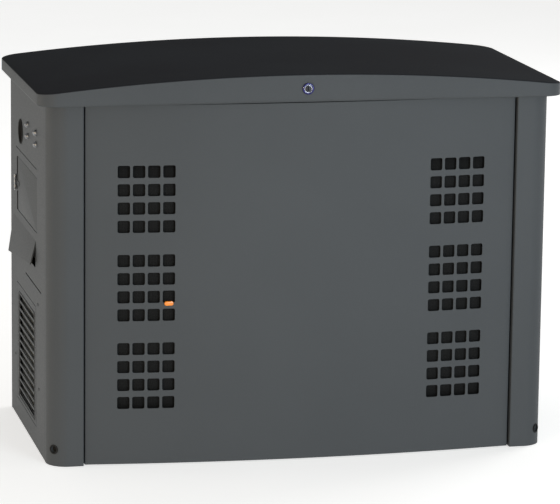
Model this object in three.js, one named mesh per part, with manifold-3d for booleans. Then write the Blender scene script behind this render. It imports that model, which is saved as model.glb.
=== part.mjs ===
// Home standby generator: a sheet-steel enclosure round an air-cooled V-twin gas engine and its alternator.
// Millimetres, +Z up, front towards -Y, origin on the floor under the middle of the lid.
import * as THREE from 'three';
import { mergeVertices } from 'three/addons/utils/BufferGeometryUtils.js';
import Module from 'manifold-3d';

// ---- driving dimensions ----
const lidWidth = 1090;
const lidDepth = 572;
const lidEdgeZ = 745; // lower edge of the lid's skirt
const skirtHeight = 25; // skirt at the lid's two ends
const lidCrown = 31; // rise of the arched roof from its ends to its middle
const bodyHalfX = 524; // outer faces of the side panels
const seamHalfX = 450; // seams between the front panel and the front posts
const seamY = -256; // front face at those seams
const panelBow = 26.5; // how far the front panel bows forward of its seams
const postFrontY = -264;
const rearY = 269; // outer face of the rear panel
const sheet = 2; // steel sheet thickness
const gap = 1.5; // half of a panel seam
const frontCornerR = 42;
const rearCornerR = 16;
const wallTopZ = 743; // top of the walls, just under the lid
const panelFootZ = 1;
const ventSide = 25; // square vent holes
const ventPitchX = 30.6;
const ventPitchZ = 37.5;
const ventOuterX = 370.3; // outermost column of vent holes
const ventTopZ = lidEdgeZ - 137.5; // top row of vent holes
const ventGroupPitch = 182.75;
const clear = 0.4; // clearance between parts that touch
const crank = { y: 10, z: 215 }; // crankshaft axis, which runs along X
const lidHinge = { y: rearY + 7.5, z: lidEdgeZ };
const steel = { color: 0x505557, roughness: 0.45, metalness: 0.4 };
const dark = { color: 0x26282a, roughness: 0.6, metalness: 0.1 };
const bare = { color: 0xb4b6b8, roughness: 0.35, metalness: 0.9 };
const castAlloy = { color: 0x9a9c9e, roughness: 0.55, metalness: 0.8 };
const rubber = { color: 0x141414, roughness: 0.9, metalness: 0 };
const orange = { color: 0xe8791c, roughness: 0.5, metalness: 0 };

const wasm = await Module();
wasm.setup();
const generator = new THREE.Group();

// ---- solids ----
function toSolid(geometry) {
  const bareGeometry = geometry.clone();
  bareGeometry.deleteAttribute('normal');
  bareGeometry.deleteAttribute('uv');
  const merged = mergeVertices(bareGeometry, 1e-4);
  const vertProperties = new Float32Array(merged.attributes.position.array);
  const triVerts = new Uint32Array(merged.index.array);
  return new wasm.Manifold(new wasm.Mesh({ numProp: 3, vertProperties, triVerts }));
}

function toGeometry(solid) {
  const mesh = solid.getMesh();
  const geometry = new THREE.BufferGeometry();
  geometry.setAttribute('position', new THREE.BufferAttribute(new Float32Array(mesh.vertProperties), 3));
  geometry.setIndex(new THREE.BufferAttribute(new Uint32Array(mesh.triVerts), 1));
  geometry.computeVertexNormals();
  return geometry;
}

function join(...geometries) {
  return toGeometry(geometries.map(toSolid).reduce((whole, piece) => whole.add(piece)));
}

function cut(geometry, ...cutters) {
  const whole = toSolid(geometry);
  return toGeometry(cutters.map(toSolid).reduce((left, piece) => left.subtract(piece), whole));
}

function addPart(name, geometry, look, parent = generator) {
  const mesh = new THREE.Mesh(geometry, new THREE.MeshStandardMaterial(look));
  mesh.name = name;
  parent.add(mesh);
  return mesh;
}

// A box between two corners.
function block(x0, x1, y0, y1, z0, z1) {
  const geometry = new THREE.BoxGeometry(x1 - x0, y1 - y0, z1 - z0);
  return geometry.translate((x0 + x1) / 2, (y0 + y1) / 2, (z0 + z1) / 2);
}

function extruded(shape, depth) {
  return new THREE.ExtrudeGeometry(shape, { depth, bevelEnabled: false, curveSegments: 6 });
}

// A plan outline in X and Y, raised from z0 to z1.
function prismZ(shape, z0, z1) {
  return extruded(shape, z1 - z0).translate(0, 0, z0);
}

// An outline in Y and Z, carried from x0 to x1.
function prismX(shape, x0, x1) {
  const turn = new THREE.Matrix4().makeBasis(axisY, axisZ, axisX);
  return extruded(shape, x1 - x0).applyMatrix4(turn).translate(x0, 0, 0);
}

// An outline in X and Z, carried from y0 to y1.
function prismY(shape, y0, y1) {
  const turn = new THREE.Matrix4().makeBasis(axisX, axisZ, axisY.clone().negate());
  return extruded(shape, y1 - y0).applyMatrix4(turn).translate(0, y1, 0);
}

const axisX = new THREE.Vector3(1, 0, 0);
const axisY = new THREE.Vector3(0, 1, 0);
const axisZ = new THREE.Vector3(0, 0, 1);

function outline(points) {
  return new THREE.Shape(points.map(([a, b]) => new THREE.Vector2(a, b)));
}

function rectangle(a0, a1, b0, b1) {
  return outline([[a0, b0], [a1, b0], [a1, b1], [a0, b1]]);
}

function roundedRectangle(a0, a1, b0, b1, r) {
  return outline([
    ...arc(a1 - r, b0 + r, r, -90, 0), ...arc(a1 - r, b1 - r, r, 0, 90),
    ...arc(a0 + r, b1 - r, r, 90, 180), ...arc(a0 + r, b0 + r, r, 180, 270),
  ]);
}

// Points along an arc, from one angle to another in degrees.
function arc(a, b, r, from, to, steps = 6) {
  const points = [];
  for (let i = 0; i <= steps; i++) {
    const angle = THREE.MathUtils.degToRad(from + (to - from) * i / steps);
    points.push([a + r * Math.cos(angle), b + r * Math.sin(angle)]);
  }
  return points;
}

function circle(a, b, r) {
  return outline(arc(a, b, r, 0, 342, 19));
}

// A closed profile of [distance along the axis, radius] points, turned round an axis through the origin.
function turned(profile, axis, segments = 24) {
  const points = profile.map(([along, radius]) => new THREE.Vector2(radius, along));
  if (THREE.ShapeUtils.isClockWise(points)) points.reverse();
  if (profile[0][1] > 0) points.push(points[0].clone());
  const geometry = new THREE.LatheGeometry(points, segments);
  return aim(geometry, axis);
}

function aim(geometry, axis) {
  return geometry.applyQuaternion(new THREE.Quaternion().setFromUnitVectors(axisY, axis));
}

function rod(radius, from, to, axis, segments = 20) {
  return turned([[from, 0], [from, radius], [to, radius], [to, 0]], axis, segments);
}

// ---- enclosure ----
// Front of the bowed panel at a distance x from the middle: an arc through both seams.
function bowY(x) {
  const arcRadius = (seamHalfX ** 2 + panelBow ** 2) / (2 * panelBow);
  return seamY - (Math.sqrt(arcRadius ** 2 - x ** 2) - Math.sqrt(arcRadius ** 2 - seamHalfX ** 2));
}

function ventCutters(groups, y0, y1) {
  const cutters = [];
  for (const side of [-1, 1]) {
    for (const group of groups) {
      for (let row = 0; row < 4; row++) {
        for (let column = 0; column < 4; column++) {
          const x = side * (ventOuterX - column * ventPitchX);
          const z = ventTopZ - group * ventGroupPitch - row * ventPitchZ;
          const half = ventSide / 2;
          cutters.push(block(x - half, x + half, y0, y1, z - half, z + half));
        }
      }
    }
  }
  return cutters;
}

function buildFrontPanel() {
  const halfX = seamHalfX - gap;
  const returnY = seamY + 16;
  const steps = 12;
  const front = [];
  const back = [];
  for (let i = 0; i <= steps; i++) {
    const x = halfX * (2 * i / steps - 1);
    const inner = (halfX - sheet) * (2 * i / steps - 1);
    front.push([x, bowY(x)]);
    back.unshift([inner, bowY(inner) + sheet]);
  }
  const plan = [...front, [halfX, returnY], [halfX - sheet, returnY], ...back];
  plan.push([-halfX + sheet, returnY], [-halfX, returnY]);
  const panel = prismZ(outline(plan), panelFootZ, wallTopZ);
  addPart('front_panel', cut(panel, ...ventCutters([0, 1, 2], -300, -240)), steel);
}

// An angled corner post with a rounded outer corner, drawn for the -X side and mirrored for the other.
function buildPost(name, side, facing, faceY, cornerR, sideEndY, returnDepth) {
  const cornerX = bodyHalfX - cornerR;
  const cornerY = Math.abs(faceY) - cornerR;
  const faceEndX = seamHalfX + gap;
  const returnY = Math.abs(faceY) - returnDepth;
  const quarter = [
    [faceEndX, returnY], [faceEndX, Math.abs(faceY)],
    ...arc(cornerX, cornerY, cornerR, 90, 0),
    [bodyHalfX, sideEndY], [bodyHalfX - sheet, sideEndY],
    ...arc(cornerX, cornerY, cornerR - sheet, 0, 90),
    [faceEndX + sheet, Math.abs(faceY) - sheet], [faceEndX + sheet, returnY],
  ];
  const plan = quarter.map(([x, y]) => [side * x, facing * y]);
  addPart(name, prismZ(outline(plan), 0, wallTopZ), steel);
}

const sideFrontY = postFrontY + frontCornerR + 13.5; // where the side panels meet the front posts
const sideRearY = rearY - rearCornerR - 3;
const door = { y0: -110, y1: 162, z0: 456, z1: 572 };
const hood = { y0: -93, y1: 224, topZ: 438, lipZ: 376, reach: 12.5 };
const grille = { y0: -95, y1: 175, z0: 43, z1: 299 };
const slats = { y0: -71, y1: 142, z0: 58, pitch: 17.2, count: 13 };
const port = { y: 112, z: 633, r: 26 };

function buildLeftPanel() {
  const shape = rectangle(sideFrontY + 0.5, sideRearY - 0.5, panelFootZ, wallTopZ);
  shape.holes.push(rectangle(door.y0, door.y1, door.z0, door.z1));
  shape.holes.push(rectangle(hood.y0 + 5, hood.y1 - 5, hood.lipZ + 4, hood.topZ - 8));
  shape.holes.push(rectangle(grille.y0, grille.y1, grille.z0, grille.z1));
  shape.holes.push(rectangle(-166, 51, 340.5, 343.5));
  shape.holes.push(circle(port.y, port.z, port.r - 1));
  const panel = prismX(shape, -bodyHalfX, -bodyHalfX + sheet);
  const groove = block(-bodyHalfX - 1, -bodyHalfX + 1, -107, 182, 588.8, 591.2);
  addPart('left_side_panel', cut(panel, groove), steel);
}

function buildSideFittings() {
  const face = -bodyHalfX;
  const plate = rectangle(grille.y0 + gap, grille.y1 - gap, grille.z0 + gap, grille.z1 - gap);
  for (let i = 0; i < slats.count; i++) {
    const z = slats.z0 + i * slats.pitch;
    plate.holes.push(rectangle(slats.y0, slats.y1, z, z + slats.pitch - 5));
  }
  addPart('intake_grille', prismX(plate, face, face + sheet), steel);

  // The scoop: a flange, a sloping sheet and a closed rear cheek.
  const top = hood.topZ;
  const lipX = face - hood.reach;
  const scoop = outline([
    [face - clear, top + 8], [face - clear, top - 1], [lipX + sheet, hood.lipZ],
    [lipX, hood.lipZ], [face - clear - sheet, top], [face - clear - sheet, top + 8],
  ]);
  const cheek = outline([[face - clear, top], [face - clear, hood.lipZ], [lipX, hood.lipZ]]);
  const rearCheek = prismY(cheek, hood.y1 - sheet, hood.y1);
  addPart('air_hood', join(prismY(scoop, hood.y0, hood.y1), rearCheek), steel);

  // A blanking grommet snapped into the round opening.
  const grommet = turned([[-1.5, 0], [-1.5, 18], [-3, 22], [-3, port.r + 1], [-0.3, port.r + 1],
    [-0.3, port.r - 1.6], [3, port.r - 1.6], [3, 0]], axisX, 20);
  addPart('port_grommet', grommet, rubber).position.set(face, port.y, port.z);
}

const doorHinge = { x: -bodyHalfX - 4.5, y: 168.5, z0: 499, z1: 531, r: 4, pinR: 2, leafFront: 1.9 };

function buildSideDoor() {
  const face = -bodyHalfX;
  const leafX = face - doorHinge.leafFront;
  const third = (doorHinge.z1 - doorHinge.z0) / 3;
  const lowZ = doorHinge.z0 + third;
  const highZ = doorHinge.z1 - third;
  const at = (geometry) => geometry.translate(doorHinge.x, doorHinge.y, 0);
  const plate = block(face, face + sheet, door.y0 + gap, door.y1 - gap, door.z0 + gap, door.z1 - gap);
  const leaf = block(leafX, face - clear, door.y1 - 22, doorHinge.y, lowZ + clear, highZ - clear);
  const weld = block(leafX, face + 0.5, door.y1 - 21, door.y1 - 2, lowZ + 1, highZ - 1);
  const knuckle = at(rod(doorHinge.r, lowZ + clear, highZ - clear, axisZ, 16));
  const bore = at(rod(doorHinge.pinR + 0.5, lowZ - 1, highZ + 1, axisZ, 12));
  addPart('side_door', cut(join(plate, leaf, weld, knuckle), bore), steel);

  const backEndY = doorHinge.y + 13;
  const backLeaf = block(leafX, face - clear, doorHinge.y, backEndY, doorHinge.z0, doorHinge.z1);
  const knuckles = join(
    at(rod(doorHinge.r, doorHinge.z0, lowZ, axisZ, 16)),
    at(rod(doorHinge.r, highZ, doorHinge.z1, axisZ, 16)),
  );
  const room = at(rod(doorHinge.r + 0.6, lowZ, highZ, axisZ, 16));
  const pin = at(rod(doorHinge.pinR, doorHinge.z0 + 1, doorHinge.z1 - 1, axisZ, 12));
  addPart('door_hinge', join(cut(join(backLeaf, knuckles), room), pin), bare);
}

function buildRightPanel() {
  const shape = rectangle(sideFrontY + 0.5, sideRearY - 0.5, panelFootZ, wallTopZ);
  for (const bottomZ of [58, 330]) {
    for (let i = 0; i < slats.count; i++) {
      const z = bottomZ + i * slats.pitch;
      shape.holes.push(rectangle(slats.y0, slats.y1, z, z + slats.pitch - 5));
    }
  }
  addPart('right_side_panel', prismX(shape, bodyHalfX - sheet, bodyHalfX), steel);
}

const gasInlet = { x: 120, z: 130, r: 14 };

function buildRearPanel() {
  const halfX = seamHalfX - gap;
  const panel = prismY(rectangle(-halfX, halfX, panelFootZ, wallTopZ), rearY - sheet, rearY);
  const inlet = rod(gasInlet.r + 3, rearY - 10, rearY + 10, axisY).translate(gasInlet.x, 0, gasInlet.z);
  const cutters = ventCutters([0, 2], rearY - 10, rearY + 10);
  addPart('rear_panel', cut(panel, inlet, ...cutters), steel);
}

const frameHalfX = bodyHalfX - sheet - 1.5;
const frameFrontY = seamY + 20; // tray and rim stand behind the front panel
const frameRearY = rearY - sheet - 1.5;
const floorZ = 20.5;

function buildFrame() {
  const ring = (inset) => roundedRectangle(-frameHalfX + inset, frameHalfX - inset,
    frameFrontY + inset, frameRearY - inset, 40 - inset);
  const wall = cut(prismZ(ring(0), 0, 60), prismZ(ring(2.5), -1, 61));
  const floor = prismZ(ring(1), floorZ - 2.5, floorZ);
  const feet = [];
  for (const x of [-420, 420]) {
    for (const y of [-180, 200]) feet.push(block(x - 40, x + 40, y - 30, y + 30, 0, floorZ - 1));
  }
  addPart('base_tray', join(wall, floor, ...feet), dark);

  const flange = cut(prismZ(ring(0), wallTopZ - 3, wallTopZ), prismZ(ring(22), wallTopZ - 4, wallTopZ + 1));
  const web = cut(prismZ(ring(0), wallTopZ - 43, wallTopZ - 2), prismZ(ring(2.5), wallTopZ - 44, wallTopZ));
  addPart('top_rim', join(flange, web), steel);
}

// ---- lid ----
// Underside-to-top arch of the roof at x, lowered by drop.
function roofZ(x, drop) {
  const end = lidWidth / 2;
  return lidEdgeZ + skirtHeight + lidCrown * (1 - (x / end) ** 2) - drop;
}

function archSection(halfX, bottomZ, drop) {
  const steps = 20;
  const points = [[halfX, bottomZ], [-halfX, bottomZ]];
  for (let i = 0; i <= steps; i++) {
    const x = halfX * (2 * i / steps - 1);
    points.push([x, roofZ(x, drop)]);
  }
  return outline(points.reverse());
}

function domed(halfX, halfY, cornerR, z0, drop) {
  const plan = prismZ(roundedRectangle(-halfX, halfX, -halfY, halfY, cornerR), z0, lidEdgeZ + 80);
  const section = prismY(archSection(halfX + 1, z0 - 1, drop), -halfY - 1, halfY + 1);
  return toGeometry(toSolid(plan).intersect(toSolid(section)));
}

const lock = { x: 3, z: lidEdgeZ + 27, r: 12, bodyR: 9, plugR: 7, frontY: -lidDepth / 2 - 3.2 };

function buildLid() {
  const halfX = lidWidth / 2;
  const halfY = lidDepth / 2;
  const lockHole = rod(lock.bodyR + clear, -halfY - 10, -halfY + 10, axisY).translate(lock.x, 0, lock.z);
  const outer = domed(halfX, halfY, 40, lidEdgeZ, 0);
  const inner = domed(halfX - sheet, halfY - sheet, 40 - sheet, lidEdgeZ - 5, sheet);
  addPart('lid_shell', cut(outer, inner, lockHole), dark);

  const foam = cut(domed(455, 225, 20, lidEdgeZ + 5, sheet + 1), domed(456, 226, 20, lidEdgeZ, sheet + 13));
  addPart('lid_foam', foam, rubber);
}

function buildLock() {
  const skin = -lidDepth / 2;
  const barrelEndY = skin + 24;
  const boreR = lock.plugR + clear;
  const body = turned([[lock.frontY, boreR], [lock.frontY, lock.r - 1], [lock.frontY + 1, lock.r],
    [skin - clear, lock.r], [skin - clear, lock.bodyR], [barrelEndY, lock.bodyR],
    [barrelEndY, boreR]], axisY);
  const bezelLook = { color: 0x3c46b4, roughness: 0.3, metalness: 0.6 };
  addPart('lock_body', body, bezelLook).position.set(lock.x, 0, lock.z);

  const plug = rod(lock.plugR, lock.frontY, skin + 29, axisY);
  const cam = block(-8, 42, skin + 26, skin + 28.5, -8, 8);
  const keyway = block(-1, 1, lock.frontY - 1, lock.frontY + 8, -4.5, 4.5);
  addPart('lock_plug', cut(join(plug, cam), keyway), bare).position.set(lock.x, 0, lock.z);
}

function buildLidHinges() {
  const span = 60;
  const pinR = 3;
  const knuckleR = 5;
  for (const [name, x] of [['left', -330], ['right', 330]]) {
    const at = (geometry) => geometry.translate(x, lidHinge.y, lidHinge.z);
    const low = -span / 2;
    const third = span / 3;
    const leaf = block(low, -low, -lidHinge.y + rearY + clear, -4.2, -45, 0);
    const knuckle = rod(knuckleR, low, -low, axisX, 16);
    const room = cutRoom(low + third, -low - third, knuckleR + 0.6);
    const pin = rod(pinR, low + 2, -low - 2, axisX, 12);
    addPart(`lid_hinge_${name}_fixed`, at(join(cut(join(leaf, knuckle), room), pin)), bare);

    const skinY = lidDepth / 2 - sheet - lidHinge.y;
    const mover = block(low + third + clear, -low - third - clear, skinY - 3, skinY - clear, 0, 22);
    const barrel = rod(knuckleR, low + third + clear, -low - third - clear, axisX, 16);
    const bore = rod(pinR + 0.5, low, -low, axisX, 12);
    addPart(`lid_hinge_${name}_moving`, at(cut(join(mover, barrel), bore)), bare);
  }
}

function cutRoom(x0, x1, radius) {
  return rod(radius, x0, x1, axisX, 16);
}

// Gas strut: its foot on the right wall, its head on the lid, both in the plane x = strut.x.
const strut = { x: 484, foot: [-75.5, 650], head: [156.5, 757], cylinderLength: 165 };

function buildStrut() {
  const run = strut.head[0] - strut.foot[0];
  const rise = strut.head[1] - strut.foot[1];
  const length = Math.hypot(run, rise);
  const along = new THREE.Vector3(0, run / length, rise / length);
  const tube = turned([[0, 0], [0, 9], [strut.cylinderLength, 9], [strut.cylinderLength, 4.6], [12, 4.6],
    [12, 0]], along, 18);
  const foot = rod(9, -6, 6, axisX, 16);
  addPart('strut_cylinder', join(tube, foot), dark).position.set(strut.x, ...strut.foot);
  const shaft = rod(4, 14, length, along, 12);
  const head = rod(7, -5, 5, axisX, 16).translate(0, run, rise);
  addPart('strut_rod', join(shaft, head), bare).position.set(strut.x, ...strut.foot);
}

// ---- controls ----
const controlBox = { x0: -430, x1: -170, y0: -215, y1: -40, z0: 600, lowZ: 640, topZ: 697, breakY: -120 };
const fasciaSlope = Math.atan2(controlBox.topZ - controlBox.lowZ, controlBox.breakY - controlBox.y0);
const buttonR = 8;
const buttonX = [-235, -212, -189];

function buildControlBox() {
  const wall = 3;
  const { x0, x1, y0, y1, z0, lowZ, topZ, breakY } = controlBox;
  const profile = (inset, rearY1) => outline([
    [y0 + inset, z0 + inset], [rearY1, z0 + inset], [rearY1, topZ - inset],
    [breakY + inset * 0.3, topZ - inset], [y0 + inset, lowZ - inset * 0.6],
  ]);
  const shell = prismX(profile(0, y1), x0, x1);
  const hollow = prismX(profile(wall, y1 + 5), x0 + wall, x1 - wall);

  const fascia = new THREE.Group();
  fascia.position.set(0, (y0 + breakY) / 2, (lowZ + topZ) / 2);
  fascia.rotation.x = fasciaSlope;
  fascia.updateMatrix();
  generator.add(fascia);
  const hole = (x) => rod(buttonR + 0.5, -8, 8, axisZ).translate(x, 0, 0).applyMatrix4(fascia.matrix);
  addPart('control_box', cut(shell, hollow, ...buttonX.map(hole)), dark);

  const glass = { color: 0x0b1a22, roughness: 0.1, metalness: 0 };
  addPart('display', block(-400, -270, -28, 28, clear, 4), glass, fascia);
  ['off', 'manual', 'auto'].forEach((name, i) => {
    const cap = rod(buttonR, -7, 6, axisZ).translate(buttonX[i], 0, 0);
    const look = { color: [0xb02018, 0xd8d8d8, 0x2f8f3a][i], roughness: 0.4, metalness: 0 };
    addPart(`button_${name}`, cap, look, fascia);
  });
}

// The breaker stands behind the service door, its lever in a slot on its face.
const breaker = { y: 0, z: 515, frontX: -503, halfY: 36, halfZ: 42, slotHalfY: 12, slotHalfZ: 20 };
const breakerBackX = -470;

function buildBreakerBox() {
  const { y, z, frontX, halfY, halfZ, slotHalfY, slotHalfZ } = breaker;
  const face = -bodyHalfX + sheet + 3;
  const inner = breakerBackX;
  const box = block(face, inner + 2, door.y0 + 8, door.y1 - 10, door.z0 + 6, door.z1 - 6);
  const hollow = block(face - 1, inner, door.y0 + 10, door.y1 - 12, door.z0 + 8, door.z1 - 8);
  addPart('breaker_box', cut(box, hollow), dark);

  const body = block(frontX, inner - clear, y - halfY, y + halfY, z - halfZ, z + halfZ);
  const slot = block(frontX - 1, frontX + 14, y - slotHalfY, y + slotHalfY, z - slotHalfZ, z + slotHalfZ);
  addPart('main_breaker', cut(body, slot), { color: 0x1b1b1b, roughness: 0.5, metalness: 0 });

  const lever = join(rod(5, -10, 10, axisY, 16), block(-16, 0, -7, 7, -3, 3));
  const mesh = addPart('breaker_lever', lever, orange);
  mesh.rotation.y = THREE.MathUtils.degToRad(30);
  mesh.position.set(frontX + 6, y, z);
}

function buildBattery() {
  const body = block(22, 192, -228, -118, floorZ + clear, 185);
  const lidPart = block(20, 194, -230, -116, 184, 196);
  const posts = [45, 169].map((x) => rod(7, 195, 208, axisZ, 14).translate(x, -200, 0));
  addPart('battery', join(body, lidPart, ...posts), { color: 0x1c1e22, roughness: 0.5, metalness: 0 });
}

// ---- engine ----
const crankcase = { x0: -170, x1: 0, y0: -85, y1: 105, z0: 62, z1: 300 };

function onCrank(geometry) {
  return geometry.translate(0, crank.y, crank.z);
}

function buildEngineBlock() {
  const c = crankcase;
  const profile = outline([
    [c.y0, c.z0], [c.y1, c.z0], [c.y1, c.z1 - 75], [c.y1 - 75, c.z1], [c.y0 + 75, c.z1], [c.y0, c.z1 - 75],
  ]);
  const flange = block(c.x0 - 15, c.x1 - 2, c.y0 - 28, c.y1 + 28, c.z0 - 2, c.z0 + 8);
  const bore = onCrank(rod(18, c.x0 - 1, c.x1 + 1, axisX));
  addPart('crankcase', cut(join(prismX(profile, c.x0, c.x1), flange), bore), castAlloy);

  let corner = 0;
  for (const x of [c.x0 + 5, c.x1 - 22]) {
    for (const y of [c.y0 - 12, c.y1 + 12]) {
      corner += 1;
      const mount = turned([[floorZ + clear, 0], [floorZ + clear, 22], [floorZ + 10, 17], [48, 17],
        [c.z0 - 2 - clear, 21], [c.z0 - 2 - clear, 0]], axisZ, 16);
      addPart(`rubber_mount_${corner}`, mount, rubber).position.set(x, y, 0);
    }
  }
}

// One finned barrel with its head, drawn upright and leaned over by the V angle.
function buildCylinder(name, x, lean) {
  const leaned = new THREE.Group();
  leaned.position.set(x, crank.y, crank.z);
  leaned.rotation.x = lean;
  generator.add(leaned);
  const footZ = 112;
  const headZ = 205;
  const barrel = rod(36, footZ, headZ, axisZ, 14);
  const fins = [];
  for (let i = 0; i < 6; i++) {
    const z = footZ + 10 + i * 13;
    fins.push(block(-46, 46, -46, 46, z, z + 4));
  }
  const head = block(-44, 44, -42, 42, headZ - 6, headZ + 18);
  addPart(`cylinder_${name}`, join(barrel, ...fins, head), castAlloy, leaned);
  const cover = roundedRectangle(-40, 40, -36, 36, 12);
  addPart(`rocker_cover_${name}`, prismZ(cover, headZ + 18 + clear, headZ + 44), dark, leaned);
}

function buildFan() {
  const housing = turned([[2, 118], [50, 118], [50, 75], [53, 75], [53, 122], [2, 122]], axisX, 28);
  addPart('blower_housing', onCrank(housing), dark);
  const disc = turned([[8, 17.6], [8, 104], [13, 104], [18, 40], [40, 40], [40, 17.6]], axisX, 24);
  const blades = [];
  for (let i = 0; i < 10; i++) {
    const blade = block(11, 38, -2, 2, 58, 101);
    blades.push(blade.rotateX(i * Math.PI / 5));
  }
  addPart('flywheel_fan', onCrank(join(disc, ...blades)), castAlloy);
}

function buildAlternator() {
  const shaftR = 17;
  const rotorR = 61;
  const shaft = [[-440, 0], [-440, shaftR], [-385, shaftR], [-385, rotorR], [-235, rotorR], [-235, shaftR],
    [30, shaftR], [30, 0]];
  addPart('rotor_shaft', onCrank(turned(shaft, axisX, 24)), bare);
  const stator = [[-390, 65], [-390, 105], [-205, 105], [-205, 112], [-170.5, 112], [-170.5, 30],
    [-190, 30], [-215, 65]];
  addPart('alternator_stator', onCrank(turned(stator, axisX, 28)), castAlloy);
  const bearingR = shaftR + 0.7;
  const bracket = [[-428, bearingR], [-428, 60], [-408, 105], [-390.5, 105], [-390.5, 96], [-402, 96],
    [-418, 56], [-418, bearingR]];
  addPart('alternator_end_bracket', onCrank(turned(bracket, axisX, 28)), castAlloy);
}

function tube(curve, radius, steps, sides, boreRadius = 0) {
  const lastAngle = 360 - 360 / sides;
  const section = outline(arc(0, 0, radius, 0, lastAngle, sides - 1));
  if (boreRadius > 0) section.holes.push(outline(arc(0, 0, boreRadius, 0, lastAngle, sides - 1)));
  return new THREE.ExtrudeGeometry(section, { steps, bevelEnabled: false, extrudePath: curve });
}

const dipstick = { x: -267.5, y: -226, tubeTopZ: 311 };

function buildEngineFittings() {
  // Mixer in the valley between the barrels, with the air cleaner on top.
  addPart('gas_mixer', block(-120, -50, -22, 42, crankcase.z1 + clear, 458), castAlloy);
  const filterBox = roundedRectangle(-150, 30, -80, 100, 24);
  addPart('air_cleaner', prismZ(filterBox, 458 + clear, 540), dark);

  const can = turned([[clear, 0], [clear, 30], [8, 36], [70, 36], [78, 28], [78, 0]], axisY.clone().negate(), 20);
  const canPaint = { color: 0xc8872a, roughness: 0.4, metalness: 0.2 };
  addPart('oil_filter', can, canPaint).position.set(-60, crankcase.y0, 112);

  const starter = turned([[-150, 0], [-150, 30], [-145, 35], [-45, 35], [-45, 26], [-14, 26], [-14, 0]],
    axisX, 20);
  addPart('starter_motor', starter, dark).position.set(0, crank.y - 132, 196);

  const path = new THREE.CurvePath();
  const port0 = new THREE.Vector3(-150, crankcase.y0 - clear, 138);
  const out = new THREE.Vector3(-150, -130, 138);
  const bend = new THREE.Vector3(-150, dipstick.y, 138);
  const low = new THREE.Vector3(-210, dipstick.y, 138);
  const elbow = new THREE.Vector3(dipstick.x, dipstick.y, 138);
  const rise = new THREE.Vector3(dipstick.x, dipstick.y, 200);
  const top = new THREE.Vector3(dipstick.x, dipstick.y, dipstick.tubeTopZ);
  path.add(new THREE.LineCurve3(port0, out));
  path.add(new THREE.QuadraticBezierCurve3(out, bend, low));
  path.add(new THREE.QuadraticBezierCurve3(low, elbow, rise));
  path.add(new THREE.LineCurve3(rise, top));
  addPart('dipstick_tube', tube(path, 7, 18, 8, 4.6), bare);

  const handle = prismY(roundedRectangle(-10.5, 10.5, 0, 14, 5), -3, 3);
  const fingerHole = prismY(roundedRectangle(-6, 6, 4, 10, 2.9), -4, 4);
  const neck = rod(6.5, -8, 1, axisZ, 14);
  const blade = rod(2.2, -78, -7, axisZ, 10);
  const stick = join(cut(handle, fingerHole), neck, blade);
  addPart('dipstick', stick, orange).position.set(dipstick.x, dipstick.y, dipstick.tubeTopZ + 8 + clear);
}

// ---- gas line and exhaust ----
const gasTap = { x: gasInlet.x, y: 228, z: gasInlet.z };

function buildGasLine() {
  const regulator = turned([[-26, 0], [-26, 24], [-18, 50], [-4, 56], [4, 56], [18, 50], [24, 20],
    [24, 0]], axisY, 24);
  addPart('gas_regulator', regulator, bare).position.set(gasTap.x, 215, 330);

  // A ball valve whose inlet stub passes out through the rear panel.
  const inletEndY = -lock.frontY;
  const stub = rod(gasInlet.r, -28, inletEndY - gasTap.y, axisY, 20);
  const ball = rod(20, -20, 20, axisZ, 20);
  const riser = rod(9, 15, 330 - 50 - gasTap.z - 10, axisZ, 14);
  addPart('gas_valve', join(stub, ball, riser), bare).position.set(gasTap.x, gasTap.y, gasTap.z);
  const grip = join(rod(8, 0, 8, axisX, 16), block(3, 7, -7, 7, -2, 60));
  addPart('gas_lever', grip, orange).position.set(gasTap.x + 20 + clear, gasTap.y, gasTap.z);
}

const wallX = 200; // partition between the engine and the muffler bay
const muffler = { x: 335, z: 300, r: 80, halfY: 185 };

// Down out of the muffler, then round to the right wall.
function tailPath(extra) {
  const path = new THREE.CurvePath();
  const y = 30;
  const lowZ = 120;
  const bendR = 50;
  const start = new THREE.Vector3(muffler.x, y, muffler.z - muffler.r + 8 + extra);
  const down = new THREE.Vector3(muffler.x, y, lowZ + bendR);
  const bend = new THREE.Vector3(muffler.x, y, lowZ);
  const out = new THREE.Vector3(muffler.x + bendR, y, lowZ);
  path.add(new THREE.LineCurve3(start, down));
  path.add(new THREE.QuadraticBezierCurve3(down, bend, out));
  path.add(new THREE.LineCurve3(out, new THREE.Vector3(515 + extra, y, lowZ)));
  return path;
}

function buildExhaust() {
  const headY = -145;
  const { x, z, r, halfY } = muffler;
  const endR = r - 20;
  const can = turned([[-halfY, 0], [-halfY, endR], [-halfY + 14, r], [halfY - 14, r], [halfY, endR],
    [halfY, 0]], axisY, 28).translate(x, 0, z);
  const shell = 2.5;
  const hollow = rod(r - shell, -halfY + 20, halfY - 20, axisY, 28).translate(x, 0, z);
  const body = cut(join(can, tube(tailPath(0), 22, 14, 12)), hollow, tube(tailPath(3), 22 - shell, 14, 12));
  addPart('muffler', body, { color: 0x77736c, roughness: 0.6, metalness: 0.8 });

  const pipe = new THREE.CatmullRomCurve3([
    new THREE.Vector3(-62, headY, 366), new THREE.Vector3(60, headY, 384),
    new THREE.Vector3(150, headY, 366), new THREE.Vector3(wallX + 3, headY, 326),
    new THREE.Vector3(wallX + 32, headY, muffler.z + 1),
    new THREE.Vector3(muffler.x - muffler.r - 2 * clear, headY, muffler.z),
  ]);
  addPart('exhaust_pipe', tube(pipe, 16, 14, 10), { color: 0x8a7f70, roughness: 0.6, metalness: 0.8 });

  const wall = rectangle(frameFrontY + 4, frameRearY - 4, floorZ + clear, wallTopZ - 44);
  wall.holes.push(circle(headY, 333, 34));
  wall.holes.push(circle(crank.y, crank.z, 75));
  addPart('partition_wall', prismX(wall, wallX - 1, wallX + 1), bare);
}

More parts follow.
